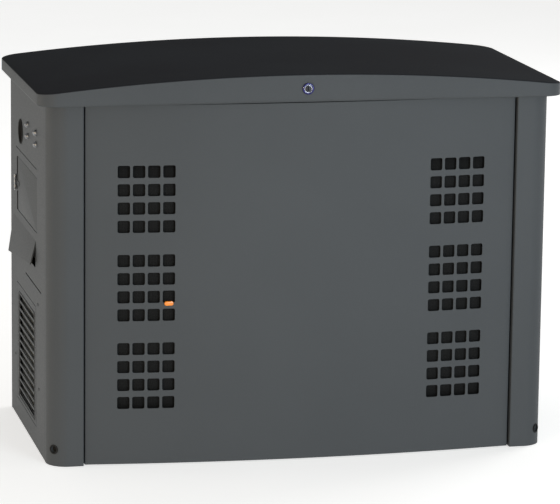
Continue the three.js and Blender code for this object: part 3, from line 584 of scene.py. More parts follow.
def buildRearPanel(v):
    cells = ventCentres(vents, [0, 2])
    half = np.tile([vents["pitchX"] / 2, vents["pitchZ"] / 2], (len(cells), 1))
    rings = np.tile(squareRing(vents), (len(cells), 1, 1))
    rowZ = vents["topZ"] - 2 * vents["groupPitch"] - 3 * vents["pitchZ"]
    inlet = roundRing(17.0)  # where the gas inlet passes
    cells = np.concatenate([cells, [(120.0, rowZ)]])
    half = np.concatenate([half, [(vents["pitchZ"] / 2, vents["pitchZ"] / 2)]])
    rings = np.concatenate([rings, inlet[None]])
    edge = v["seamHalfX"] - v["gap"]
    lineX = np.concatenate([[-edge, -edge + 3, edge - 3, edge], np.linspace(-220, 80, 6), np.linspace(160, 220, 2)])
    lineZ = np.concatenate([[v["footZ"], v["footZ"] + 3, v["topZ"] - 3, v["topZ"]], np.linspace(300, 480, 5)])
    shell = ventedSkin(cells, rings, half, lineX, lineZ, lambda x: np.stack([x, np.full(np.shape(x), v["rearY"])], -1),
                       np.empty((0, 2)))
    return addPiece("rearSkin", [shell], "cabinet", ["rear_panel"], wall=v["sheet"], bevel=0.45,
                    facing=(0, 1, 0))


def roundRing(radius):
    # as many points as a cell's border has, walked the same way from its lower left corner
    count = 4 * vents["splits"]
    angle = math.radians(225) + np.arange(count) / count * 2 * math.pi
    return radius * np.stack([np.cos(angle), np.sin(angle)], 1)


footPlug = {"centreZ": 35.0, "holeR": 8.4, "rimR": 1.7, "coneR": 6.2, "depth": 6.5}


def buildPosts(v, plug):
    # each post is a plan path with a fold at the seam and a wide arc at the corner, carried up the height
    low, high = 0.0, v["topZ"]
    near = v["seamHalfX"] + v["gap"]
    for name, side, front in (("post_front_left", -1, True), ("post_front_right", 1, True),
                              ("post_rear_left", -1, False), ("post_rear_right", 1, False)):
        faceY = abs(v["postFrontY"]) if front else v["rearY"]
        depth, fold, bend = (24.0, v["fold"], v["frontCornerR"]) if front else (3.2, 1.4, v["rearCornerR"])
        endY = abs(v["sideFrontY"]) if front else v["sideRearY"]
        plan = [(near, faceY - depth), (near, faceY), (v["bodyHalfX"], faceY), (v["bodyHalfX"], endY)]
        plan = softened(plan, [0, fold, bend, 0], 16, room=0.95 if front else 0.49) * (side, -1 if front else 1)
        run = np.concatenate([[0], np.cumsum(np.linalg.norm(np.diff(plan, axis=0), axis=1))])
        levels = np.array([low, low + 3, 300.0, 500.0, high - 3, high])
        if front:  # a round hole at the foot, on the middle of the corner's arc
            at45 = run[np.argmax(plan @ (side, -1))]
            clearRun = run[abs(run - at45) > 12.5]
            shell = ventedSkin(np.array([(at45, plug["centreZ"])]), roundRing(plug["holeR"])[None],
                               np.array([(12.0, 12.0)]),
                               clearRun, levels, lambda s: np.stack([np.interp(s, run, plan[:, 0]),
                                                                np.interp(s, run, plan[:, 1])], -1), np.empty((0, 2)))
        else:
            points = np.empty((len(plan), len(levels), 3))
            points[:, :, :2] = plan[:, None]
            points[:, :, 2] = levels
            shell = gridShell(points, "greyPaint")
        addPiece(name.replace("post", "cornerPost"), [shell], "cabinet", [name],
                 wall=v["sheet"], bevel=0.4, facing=(side, -1 if front else 1, 0))


def buildFootPlugs(v, plug):
    # a rubber lip round the hole, a painted cone inside it and a black plug at the bottom of the cone
    shells = []
    for side in (-1, 1):
        normal = np.array([side, -1, 0]) / math.sqrt(2)
        centre = np.array([side * (v["bodyHalfX"] - v["frontCornerR"]), v["postFrontY"] + v["frontCornerR"],
                           plug["centreZ"]]) + normal * v["frontCornerR"]
        lip = ringOf(-0.3, plug["holeR"] + 0.1, plug["rimR"], 10)
        shells.append(turned(lip, normal, centre, "rubber", 36, closed=True))
        cone = [(-0.6, plug["holeR"]), (-plug["depth"], plug["coneR"]), (-plug["depth"] - 1, plug["coneR"]),
                (-1.6, plug["holeR"] + 1)]
        shells.append(turned(cone, normal, centre, "greyPaint", 36, closed=True))
        shells.append(turned([(-plug["depth"] - 0.8, 0), (-plug["depth"] - 0.8, plug["coneR"] + 0.5),
                              (-plug["depth"] - 0.1, plug["coneR"] + 0.5), (-plug["depth"] + 0.4, 0)], normal, centre,
                             "rubber", 36))
    addPiece("footPlugs", shells, "cabinet", sharp=40)


lidShape = {"halfX": 545.0, "halfY": 286.0, "edgeZ": 745.0, "skirt": 25.0, "crown": 31.0, "corner": 40.0,
            "edgeR": 2.6, "sheet": 2.0, "rings": 26}


def roofZ(x, v):
    return v["edgeZ"] + v["skirt"] + v["crown"] * (1 - (x / v["halfX"]) ** 2)


def buildLid(v):
    # the plan outline rises as a skirt, rolls over a small radius and closes in rings onto the arched roof
    corners = box2(-v["halfX"], v["halfX"], -v["halfY"], v["halfY"])
    outline = softened(corners, v["corner"], 14, closed=True)
    lengths = np.linalg.norm(np.roll(outline, -1, 0) - outline, axis=1)
    parts = np.maximum(1, np.round(lengths / 22)).astype(int)
    outline = np.concatenate([a + (b - a) * np.linspace(0, 1, n, endpoint=False)[:, None]
                              for a, b, n in zip(outline, np.roll(outline, -1, 0), parts)])
    inward = inset(outline)
    rows = [np.column_stack([outline, np.full(len(outline), v["edgeZ"])])]
    top = roofZ(outline[:, 0], v)
    for share in (0.12, 0.5):
        rows.append(np.column_stack([outline, v["edgeZ"] + (top - v["edgeR"] - v["edgeZ"]) * share]))
    for angle in np.radians([0, 22.5, 45, 67.5, 90]):
        plan = outline + inward * v["edgeR"] * (1 - math.cos(angle))
        rows.append(np.column_stack([plan, roofZ(plan[:, 0], v) - v["edgeR"] * (1 - math.sin(angle))]))
    skirtRows = len(rows) - 4
    rim = outline + inward * v["edgeR"]
    for share in np.linspace(1, 0, v["rings"] + 1)[1:]:
        plan = rim * (share if share > 0 else 1e-9)
        rows.append(np.column_stack([plan, roofZ(plan[:, 0], v)]))
    points = np.stack(rows)
    skirt = gridShell(points[:skirtRows + 1], "greyPaint", loopColumns=True)
    roof = gridShell(points[skirtRows:], "lidPaint", loopColumns=True)
    addPiece("lidShell", [roof, skirt], "lid", ["lid_shell"], wall=v["sheet"], bevel=0.0, sharp=60,
             facing=(0, 0, 1))


foamPad = {"halfX": 455.0, "halfY": 225.0, "thick": 10.0, "waveZ": 1.6, "pitch": 38.0, "corner": 20.0, "gapTop": 3.2}


def buildLidFoam(v, lid):
    # a pad glued under the roof: both faces follow the arch and the lower one rises and falls in soft waves
    nx, ny = 150, 76
    x, y = np.meshgrid(np.linspace(-1, 1, nx), np.linspace(-1, 1, ny), indexing="ij")
    squeeze = lambda a: np.sign(a) * np.abs(a) ** 0.94
    px, py = squeeze(x) * v["halfX"], squeeze(y) * v["halfY"]
    edge = np.minimum(v["halfX"] - np.abs(px), v["halfY"] - np.abs(py))
    roll = np.clip(edge / 6.0, 0, 1)
    roll = np.sqrt(1 - (1 - roll) ** 2)
    roof = roofZ(px, lid) - v["gapTop"]
    wave = v["waveZ"] * np.sin(2 * math.pi * px / v["pitch"]) * np.sin(2 * math.pi * py / v["pitch"]) * roll
    top = np.stack([px, py, roof - 0.6 * (1 - roll)], -1)
    low = np.stack([px, py, roof - v["thick"] * (0.35 + 0.65 * roll) + wave], -1)
    lower = np.concatenate([low, top[::-1]])
    around = gridShell(lower, "foam", loopRows=True)
    ends = []
    for row in (0, ny - 1):  # close the two long sides
        ends.append(gridShell(np.stack([low[:, row], top[:, row]]), "foam"))
    pad = addPiece("lidFoam", [around, *ends], "lid", ["lid_foam"], sharp=50)


lockShape = {"x": 3.0, "z": 772.0, "frontY": -289.2, "bezelR": 12.0, "faceR": 8.9, "bodyR": 9.0, "plugR": 7.0}


def buildLock(v):
    # a rolled blue bezel, a bright face ring inside it and a barrel behind the skirt
    out = (0, -1, 0)
    centre = (v["x"], 0, v["z"])
    front = -v["frontY"]
    bezel = softened([(286.3, v["bodyR"] + 0.5), (286.3, v["bezelR"]), (front, v["bezelR"]), (front + 0.1, v["faceR"]),
                      (front - 1.1, v["faceR"] - 0.1), (286.3, v["faceR"] - 0.1)], [0, 0.3, 1.6, 0.5, 0.2, 0], 5)
    ring = softened([(front - 1.2, v["faceR"] - 0.15), (front - 0.5, v["faceR"] - 0.5),
                     (front - 0.35, v["plugR"] + 0.9),
                     (front - 1.4, v["plugR"] + 0.35), (262.0, v["plugR"] + 0.35), (262.0, v["bodyR"]),
                     (285.0, v["bodyR"])], [0, 0.3, 0.3, 0.2, 0, 0.4, 0], 4)
    nut = turned([(281.5, v["bodyR"] + 0.1), (281.5, 14.5), (277.5, 14.5), (277.5, v["bodyR"] + 0.1)], out, centre,
                 "zincSteel", 6, closed=True)
    addPiece("lockBezel", [turned(bezel, out, centre, "lockBlue", 64), turned(ring, out, centre, "lockSilver", 64),
                           nut], "lid", ["lock_body"], sharp=40)
    plug = softened([(257.5, 0), (257.5, v["plugR"]), (front - 1.0, v["plugR"]), (front - 0.9, 6.7), (front - 1.9, 6.4),
                     (front - 1.9, 0)], [0, 0.5, 0.5, 0.3, 0.5, 0], 4)
    face = turned(plug, out, centre, "lockSilver", 48)
    slot = prism(box2(v["x"] - 0.9, v["x"] + 0.9, v["z"] - 4.2, v["z"] + 4.2), "y", -(front - 1.7), -(front - 2.6),
                 "blackPlastic")
    dial = turned([(front - 1.95, 0), (front - 1.95, 6.3), (front - 1.7, 6.0), (front - 1.7, 0)], out, centre,
                  "blackPlastic", 32)
    cam = prism(softened(box2(v["x"] - 8, v["x"] + 42, v["z"] - 8, v["z"] + 8), 6, 5, closed=True), "y", -260.0, -257.5,
                "zincSteel", edge=0.4)
    addPiece("lockPlug", [face, dial, slot, cam], "lock_key", ["lock_plug"], sharp=40)


buildFrontPanel(enclosure)
buildRearPanel(enclosure)
buildPosts(enclosure, footPlug)
buildFootPlugs(enclosure, footPlug)
buildLid(lidShape)
buildLidFoam(foamPad, lidShape)
buildLock(lockShape)
print("enclosure built")

# Vent liners: black wire mesh on the inner face of the vented panels.

liner = {"setback": 8.0, "wall": 1.6, "innerX": 254.2, "outerX": 394.6, "lowZ": 92.0, "highZ": 640.0}
stiffener = {"places": (-180.0, 0.0, 180.0), "half": 18.0, "flange": 12.0, "depth": 11.0, "wall": 1.5, "low": 70.0,
             "high": 690.0}
# an orange lens clipped on the lower edge of one vent hole
ventLens = {"x": -278.5, "z": 336.0, "halfX": 9.4, "halfZ": 4.6, "proud": 3.6, "round": 4.2}


def buildLiners(v, shell):
    # a sheet that keeps the same distance behind the bowed panel
    for name, side in (("linerLeft", -1), ("linerRight", 1)):
        x, z = np.meshgrid(side * np.linspace(v["innerX"], v["outerX"], 10), np.linspace(v["lowZ"], v["highZ"], 8),
                           indexing="ij")
        points = np.stack([x, bowY(x, shell) + v["setback"], z], -1)
        # the black mesh of the liners has painted shade in its gaps
        addPiece(name, [gridShell(points, "frontMesh")], "front_panel", wall=v["wall"],
                 facing=(0, -1, 0))
    sheets = []
    for side in (-1, 1):
        for low, high in ((455.0, 640.0), (92.0, 276.0)):
            x, z = np.meshgrid(side * np.array([254.0, 395.0]), [low, high], indexing="ij")
            sheets.append(gridShell(np.stack([x, np.full(x.shape, shell["rearY"] - 8.0), z], -1), "frontMesh"))
    addPiece("linerRear", sheets, "cabinet", wall=v["wall"], facing=(0, 1, 0))


# Left side.

sideShape = {"face": -524.0, "sheet": 2.0}
boltHeads = {"places": ((9, 664), (-103, 665), (8, 640), (-105, 641)), "radius": 6.8, "height": 7.0, "washer": 0.6}
sideScrews = {"places": ((-124, 310), (-134, 133), (195, 135)), "radius": 3.6, "height": 1.8}
grilleShape = {"y0": -92.2, "y1": 173.5, "z0": 44.5, "z1": 297.5, "openY0": -71.0, "openY1": 142.0, "openZ0": 58.0,
               "pitch": 17.2, "count": 13, "bar": 5.0, "lean": 2.0}
hoodShape = {"y0": -93.0, "y1": 222.0, "topZ": 438.0, "lipFront": 388.0, "lipRear": 355.0, "reach": 12.5, "wall": 1.6}
doorShape = {"y0": -109.4, "y1": 158.8, "z0": 457.5, "z1": 571.4, "cornerR": 9.0}
hingeShape = {"x": -528.5, "y": 168.5, "z0": 499.0, "z1": 531.0, "r": 2.5}
portShape = {"y": 112.0, "z": 633.0, "r": 27.0, "depth": 13.0}


def buildGrille(v, side):
    # a plate of four bars round the opening with a raised bead, and slats that lean a little inwards
    face = side["face"]
    back = face + 2.0
    top = v["openZ0"] + v["count"] * v["pitch"] - v["bar"]
    frameShells = []
    for y0, y1, z0, z1 in ((v["y0"], v["y1"], top, v["z1"]), (v["y0"], v["y1"], v["z0"], v["openZ0"]),
                           (v["y0"], v["openY0"], v["openZ0"], top), (v["openY1"], v["y1"], v["openZ0"], top)):
        frameShells.append(prism(box2(y0, y1, z0, z1), "x", face, back, "greyPaint"))
    outline = softened(box2(v["openY0"] - 5, v["openY1"] + 5, v["openZ0"] - 5, top + 5), 6, 5, closed=True)
    path = np.column_stack([np.full(len(outline), face), outline])
    bead = ringOf(0, 0, 1.6, 10)
    frameShells.append(swept(path, bead, "greyPaint", upward=(1, 0, 0), closed=True))
    for i in range(v["count"] - 1):
        z = v["openZ0"] + (i + 1) * v["pitch"] - v["bar"]
        bar = softened([(face + 0.2, z), (face + 0.2, z + v["bar"]), (back, z + v["bar"]), (back + v["lean"], z - 1.5),
                        (back + v["lean"] - 1.4, z - 1.5)], 0.5, 2, closed=True)
        frameShells.append(prism(bar, "y", v["openY0"] - 1, v["openY1"] + 1, "greyPaint"))
    addPiece("intakeLouvres", frameShells, "cabinet", ["intake_grille"], sharp=30)


def buildHood(v, side):
    # A sheet pressed out of the panel: it slopes to a hemmed lip that drops towards the rear, where a cheek closes it.
    face = side["face"]
    lip = face - v["reach"] + 0.3
    levels = np.array([v["y0"], v["y0"] + 3, 0.0, 120.0, v["y1"] - 3, v["y1"]])
    sections = []
    for y in levels:
        low = v["lipFront"] + (v["lipRear"] - v["lipFront"]) * (y - v["y0"]) / (v["y1"] - v["y0"])
        outer = [(face + 0.6, v["topZ"] + 1), (face - 0.1, v["topZ"] - 1), (lip, low + 1.0), (lip + 1.0, low),
                 (lip + v["wall"] + 1.0, low + 0.6), (face + 1.4, v["topZ"] - 4)]
        sections.append(placed(softened(outer, [0.3, 8, 0.9, 0.9, 0.6, 0.3], 4, closed=True), y, "y"))
    hood = gridShell(np.stack(sections), "greyPaint", loopColumns=True, caps=True)
    cheek = softened([(face + 0.4, v["topZ"] - 2), (face + 0.4, v["lipRear"] + 0.4), (lip + 0.8, v["lipRear"] + 0.4)],
                     [1, 1, 1.4], 3, closed=True)
    shells = [hood, prism(cheek, "y", v["y1"] - 1.6, v["y1"] - 0.1, "greyPaint")]
    addPiece("airScoop", shells, "cabinet", ["air_hood"], sharp=30)


def buildDoor(v, hinge, side):
    # the leaf has one rounded lower rear corner; its middle knuckle turns on the hinge's pin
    face = side["face"]
    outline = softened([(v["y0"], v["z0"]), (v["y1"], v["z0"]), (v["y1"], v["z1"]), (v["y0"], v["z1"])],
                       [3, v["cornerR"], 3, 3], 6, closed=True)
    leaf = prism(outline, "x", face, face + 2.0, "greyPaint", edge=0.5)
    third = (hinge["z1"] - hinge["z0"]) / 3
    low, high = hinge["z0"] + third + 0.4, hinge["z1"] - third - 0.4
    knuckle = turned(softened([(low, 2.2), (low, hinge["r"]), (high, hinge["r"]), (high, 2.2)], [0, 0.4, 0.4, 0], 3),
                     (0, 0, 1), (hinge["x"], hinge["y"], 0), "dullZinc", 24, closed=True)
    strap = prism(softened([(face - 1.4, v["y1"] - 22), (face - 1.4, hinge["y"] + 0.2), (face - 0.4, hinge["y"] + 0.2),
                            (face - 0.4, v["y1"] - 22)], 0.4, 3, closed=True), "z", low + 0.4, high - 0.4, "greyPaint")
    catch = prism(softened(box2(v["y0"] + 14, v["y0"] + 30, 508, 522), 5, 5, closed=True), "x", face + 2.2, face + 2.9,
                  "zincSteel", edge=0.3)
    seal = swept(np.column_stack([np.full(len(outline), face + 2.8),
                                  outline * 0.94 + outline.mean(0) * 0.06]), ringOf(0, 0, 1.1, 8), "rubber",
                 upward=(1, 0, 0), closed=True)
    addPiece("serviceDoor", [leaf, knuckle, strap, catch, seal], "side_door", ["side_door"], sharp=30)

    knuckles = []
    for low, high in ((hinge["z0"], hinge["z0"] + third), (hinge["z1"] - third, hinge["z1"])):
        profile = softened([(low, 0), (low, hinge["r"]), (high, hinge["r"]), (high, 0)], [0, 0.5, 0.5, 0], 3)
        knuckles.append(turned(profile, (0, 0, 1), (hinge["x"], hinge["y"], 0), "dullZinc", 24))
    pin = turned([(hinge["z0"] - 0.8, 0), (hinge["z0"] - 0.8, 1.8), (hinge["z1"] + 0.8, 1.8), (hinge["z1"] + 0.8, 0)],
                 (0, 0, 1), (hinge["x"], hinge["y"], 0), "stainless", 20)
    backLeaf = prism(softened(box2(hinge["y"] + 0.2, hinge["y"] + 13, hinge["z0"], hinge["z1"]),
                              [0.4, 2.5, 2.5, 0.4], 4, closed=True), "x", face - 1.4, face - 0.4, "greyPaint", edge=0.3)
    screws = [domeHead((face - 1.4, hinge["y"] + 8, z), (-1, 0, 0), 2.2, 1.1, "zincSteel")
              for z in (hinge["z0"] + 6, hinge["z1"] - 6)]
    trim = [prism(softened(box2(v["y1"] + 0.8, v["y1"] + 5.2, z0, z1), 0.8, 2, closed=True), "x", face - 1.3,
                  face + 0.3, "rubber") for z0, z1 in ((v["z0"], hinge["z0"] - 2), (hinge["z1"] + 2, v["z1"]))]
    addPiece("doorTrim", trim, "cabinet", sharp=40)
    addPiece("doorHingePart", [*knuckles, pin, backLeaf, *screws], "cabinet", ["door_hinge"], sharp=35)


def buildSideFittings(side, bolts, screws, port):
    left = (-1, 0, 0)
    heads = [domeHead((side["face"], y, z), left, bolts["radius"], bolts["height"], "dullZinc", bolts["washer"])
             for y, z in bolts["places"]]
    addPiece("domeBolts", heads, "cabinet", sharp=40)
    small = [domeHead((side["face"], y, z), left, screws["radius"], screws["height"], "greyPaint")
             for y, z in screws["places"]]
    addPiece("sideScrews", small, "cabinet", sharp=40)
    # the grommet's lip rolls over the sheet and its membrane is dished well inwards
    r = port["r"]
    profile = softened([(-port["depth"], 0), (-port["depth"], r - 9), (-2.0, r - 3.5), (1.2, r - 3.2), (2.8, r - 1.5),
                        (0.4, r), (0.0, r - 1.6), (-3.0, r - 1.6), (-port["depth"] - 1.5, r - 7),
                        (-port["depth"] - 1.5, 0)], [0, 5, 2, 1, 1.2, 0.6, 0.3, 1, 4, 0], 4)
    addPiece("blankingGrommet", [turned(profile, left, (side["face"], port["y"], port["z"]), "rubber", 56)],
             "cabinet", ["port_grommet"], sharp=40)
    # black wire mesh behind the scoop, the slot and the grille, drawn lighter with painted light and with painted shade
    # in its gaps
    sheets = []
    for y0, y1, z0, z1, depth in ((-90, 222, 378, 432, 12), (-168, 53, 336, 348, 3), (-92, 172, 46, 296, 6)):
        y, z = np.meshgrid([y0, y1], [z0, z1], indexing="ij")
        sheets.append(gridShell(np.stack([np.full(y.shape, float(side["face"] + depth)), y, z], -1), "sideMesh"))
    addPiece("sideMeshSheets", sheets, "cabinet", wall=1.2, facing=(-1, 0, 0))


def buildStiffeners(v, shell):
    # hat channels up the back of the front panel, with their flanges on the skin
    shells = []
    for x in v["places"]:
        skin = float(bowY(x, shell)) + shell["sheet"] + 0.6
        half, depth, wall = v["half"], v["depth"], v["wall"]
        outline = [(-half - v["flange"], 0), (-half, 0), (-half + 4, depth), (half - 4, depth), (half, 0),
                   (half + v["flange"], 0), (half + v["flange"], wall), (half + 1.2, wall), (half - 3, depth + wall),
                   (-half + 3, depth + wall), (-half - 1.2, wall), (-half - v["flange"], wall)]
        channel = softened(np.array(outline) + (x, skin), 1.0, 3, closed=True)
        shells.append(prism(channel, "z", v["low"], v["high"], "greyPaint"))
        for z in np.linspace(v["low"] + 25, v["high"] - 25, 5):
            for side in (-1, 1):
                rivet = (x + side * (half + v["flange"] / 2), skin + wall, float(z))
                shells.append(domeHead(rivet, (0, 1, 0), 2.6, 1.2, "greyPaint"))
    addPiece("panelStiffeners", shells, "front_panel", sharp=35)


def buildVentLens(v, shell):
    face = bowY(v["x"], shell)
    outline = softened(box2(v["x"] - v["halfX"], v["x"] + v["halfX"], v["z"] - v["halfZ"], v["z"] + v["halfZ"]),
                       v["round"], 6, closed=True)
    lens = prism(outline, "y", face - v["proud"], face + 0.6, "orangeLens", edge=1.6)
    addPiece("ventLens", [lens], "front_panel", sharp=50)


# Strips behind the seams, so that no light passes through them.

seamStrip = {"low": 61.0, "high": 699.0, "half": 12.0, "wall": 1.4}


def buildSeamStrips(v, shell):
    shells = []
    for side in (-1, 1):
        middle = side * shell["seamHalfX"]
        strip = softened(box2(middle - v["half"], middle + v["half"], v["low"], v["high"]), 3, 3, closed=True)
        shells.append(prism(strip, "y", shell["rearY"] - 5.2, shell["rearY"] - 5.2 + v["wall"], "greyPaint"))
        for y in (shell["sideFrontY"], shell["sideRearY"]):
            inner = side * (shell["bodyHalfX"] - 4.4)
            strip = softened(box2(y - v["half"] * 0.6, y + v["half"] * 0.6, v["low"], v["high"]), 3, 3, closed=True)
            shells.append(prism(strip, "x", min(inner, inner + side * v["wall"]), max(inner, inner + side * v["wall"]),
                                "greyPaint"))
    addPiece("seamStrips", shells, "cabinet", sharp=40)


# Right side: outlet louvres.

louvre = {"face": 524.0, "y0": -74.0, "y1": 145.0, "bottoms": (58.0, 330.0), "count": 13, "pitch": 17.2, "open": 12.2,
          "reach": 6.0, "wall": 1.0, "endR": 12.0}


def buildLouvres(v):
    # each louvre bulges from a closed top edge to an open lower one and tapers into the sheet at both ends
    across = np.concatenate([np.linspace(0, 1, 9)[:-1] ** 2 * 0.07, np.linspace(0.07, 0.93, 5),
                             1 - (np.linspace(0, 1, 9)[:-1] ** 2 * 0.07)[::-1]])
    y = v["y0"] + (v["y1"] - v["y0"]) * across
    nearEnd = np.clip(np.minimum(y - v["y0"], v["y1"] - y) / v["endR"], 0, 1)
    taper = np.sqrt(1 - (1 - nearEnd) ** 2)[:, None]
    t = np.linspace(0, 1, 7)[None, :]
    shells = []
    for bottom in v["bottoms"]:
        for i in range(v["count"]):
            low = bottom + i * v["pitch"]
            x = v["face"] + 0.1 + v["reach"] * taper * np.sin(t * math.pi / 2) ** 0.9
            z = low + v["open"] + 1.6 - (v["open"] - 1.0) * t * (0.25 + 0.75 * taper)
            points = np.stack([x, np.broadcast_to(y[:, None], x.shape), z], -1)
            shells.append(gridShell(points, "greyPaint"))
    addPiece("outletLouvres", shells, "cabinet", wall=v["wall"], facing=(1, 0, 0), sharp=50)
    # black wire mesh behind the louvres, drawn lighter with painted light and with painted shade in its gaps
    sheets = []
    for bottom in v["bottoms"]:
        yy, zz = np.meshgrid([-80.0, 150.0], [bottom - 4, bottom + v["count"] * v["pitch"]], indexing="ij")
        sheets.append(gridShell(np.stack([np.full(yy.shape, v["face"] - 9.0), yy, zz], -1), "sideMesh"))
    addPiece("outletMesh", sheets, "cabinet", wall=1.2, facing=(1, 0, 0))


# Hinges of the lid, and the screws of the rear and right panels.

lidHingeShape = {"y": 276.5, "z": 745.0, "span": 60.0, "knuckleR": 5.0, "places": (("left", -330.0), ("right", 330.0)),
                 "rearY": 269.0, "skinY": 284.0}
panelScrews = {
    "rear": ((-420, 40), (-420, 380), (-420, 715), (0, 30), (0, 715), (420, 40), (420, 380), (420, 715)),
    "right": ((-190, 30), (-190, 370), (-190, 715), (225, 30), (225, 370), (225, 715)), "across": 8.0, "height": 4.6,
}


def buildLidHinges(v):
    third = v["span"] / 3
    for name, x in v["places"]:
        fixed, moving = [], []
        for low, high in ((-third * 1.5, -third * 0.5), (third * 0.5, third * 1.5)):
            profile = softened([(low, 0), (low, v["knuckleR"]), (high, v["knuckleR"]), (high, 0)], [0, 0.7, 0.7, 0], 3)
            fixed.append(turned(profile, (1, 0, 0), (x, v["y"], v["z"]), "zincSteel", 32))
        plate = prism(softened(box2(x - 30, x + 30, v["z"] - 45, v["z"] - 1), [5, 5, 0.5, 0.5], 5, closed=True), "y",
                      v["rearY"] + 0.4, v["rearY"] + 3.2, "zincSteel", edge=0.5)
        fixed.append(plate)
        neck = prism(np.array([(v["rearY"] + 0.5, v["z"] - 8), (v["rearY"] + 3.1, v["z"] - 8),
                               (v["y"] + 3, v["z"] - 3.6), (v["y"] - 3, v["z"] + 2)]), "x", x - 30, x - 10, "zincSteel")
        fixed += [neck, moved(neck, (40, 0, 0))]
        fixed.append(turned([(-28, 0), (-28, 3), (28, 3), (28, 0)], (1, 0, 0), (x, v["y"], v["z"]), "stainless", 20))
        for dx, drop in ((-18, 27), (0, 33), (18, 27)):
            fixed += hexHead((x + dx, v["rearY"] + 3.2, v["z"] - drop), (0, 1, 0), 7.0, 4.0, "zincSteel")
        addPiece(f"lidHinge{name.title()}Fixed", fixed, "cabinet", [f"lid_hinge_{name}_fixed"], sharp=35)
        profile = softened([(-9.6, 3.4), (-9.6, v["knuckleR"]), (9.6, v["knuckleR"]), (9.6, 3.4)], [0, 0.7, 0.7, 0], 3)
        moving.append(turned(profile, (1, 0, 0), (x, v["y"], v["z"]), "zincSteel", 32, closed=True))
        moving.append(prism(softened(box2(x - 9.6, x + 9.6, v["z"] + 1, v["z"] + 22), [0.5, 0.5, 4, 4], 5, closed=True),
                            "y", v["skinY"] - 3, v["skinY"] - 0.4, "zincSteel", edge=0.5))
        moving.append(prism(np.array([(v["y"] - 1, v["z"] + 3.6), (v["y"] + 4.4, v["z"] + 1),
                                      (v["skinY"] - 0.5, v["z"] + 6), (v["skinY"] - 2.9, v["z"] + 9)]),
                            "x", x - 9.6, x + 9.6, "zincSteel"))
        addPiece(f"lidHinge{name.title()}Moving", moving, "lid", [f"lid_hinge_{name}_moving"], sharp=35)


def buildPanelScrews(v, shell):
    heads = [part for x, z in v["rear"] for part in hexHead((x, shell["rearY"], z), (0, 1, 0), v["across"], v["height"],
                                                            "zincSteel")]
    heads += [part for y, z in v["right"] for part in hexHead((shell["bodyHalfX"], y, z), (1, 0, 0), v["across"],
                                                              v["height"], "zincSteel")]
    addPiece("panelScrews", heads, "cabinet", sharp=35)


buildLiners(liner, enclosure)
buildVentLens(ventLens, enclosure)
buildStiffeners(stiffener, enclosure)
buildSeamStrips(seamStrip, enclosure)
buildGrille(grilleShape, sideShape)
buildHood(hoodShape, sideShape)
buildDoor(doorShape, hingeShape, sideShape)
buildSideFittings(sideShape, boltHeads, sideScrews, portShape)
buildLouvres(louvre)
buildLidHinges(lidHingeShape)
buildPanelScrews(panelScrews, enclosure)
print("sides, hinges and screws built")
# Engine: crankcase, cylinders and fan. The crankshaft's axis runs along X at crankY, crankZ.

engine = {"crankY": 10.0, "crankZ": 215.0, "finCount": 12, "finPitch": 7.2, "finWall": 2.4, "blades": 14}


def caseOutline(y0, y1, z0, z1, chamfer):
    return softened([(y0, z0), (y1, z0), (y1, z1 - chamfer), (y1 - chamfer, z1), (y0 + chamfer, z1),
                     (y0, z1 - chamfer)], [6, 6, 22, 22, 22, 22], 6, closed=True)


def buildCrankcase(v):
    look = "castAluminium"
    body = prism(caseOutline(-85, 105, 62, 300, 75), "x", -168, -2, look, edge=3)
    shells = [body, prism(softened(box2(-184, -3, -112, 132), 12, 6, closed=True), "z", 60.4, 69.6, look, edge=1.5)]
    for x in (-150, -106, -62, -18):  # stiffening ribs down the front and rear faces
        for y0, y1 in ((-90, -84), (104, 110)):
            shells.append(prism(softened(box2(x - 2, x + 2, y0, y1), 1, 3, closed=True), "z", 69, 214, look, edge=1))
    cover = turned(softened([(-0.5, 19), (-0.5, 62), (1.2, 62), (1.2, 19)], [0, 1, 1, 0], 3), (1, 0, 0),
                   (-1.2, v["crankY"], v["crankZ"]), look, 48, closed=True)
    shells.append(cover)
    for y in (-70, 90):
        for z in (80, 150, 215):
            shells += hexHead((-2, y * 0.94, z), (1, 0, 0), 9, 5, "zincSteel")
    shells += hexHead((-120, -85, 92), (0, -1, 0), 14, 8, "zincSteel")
    addPiece("crankcaseBody", shells, "cabinet", ["crankcase"], sharp=35)


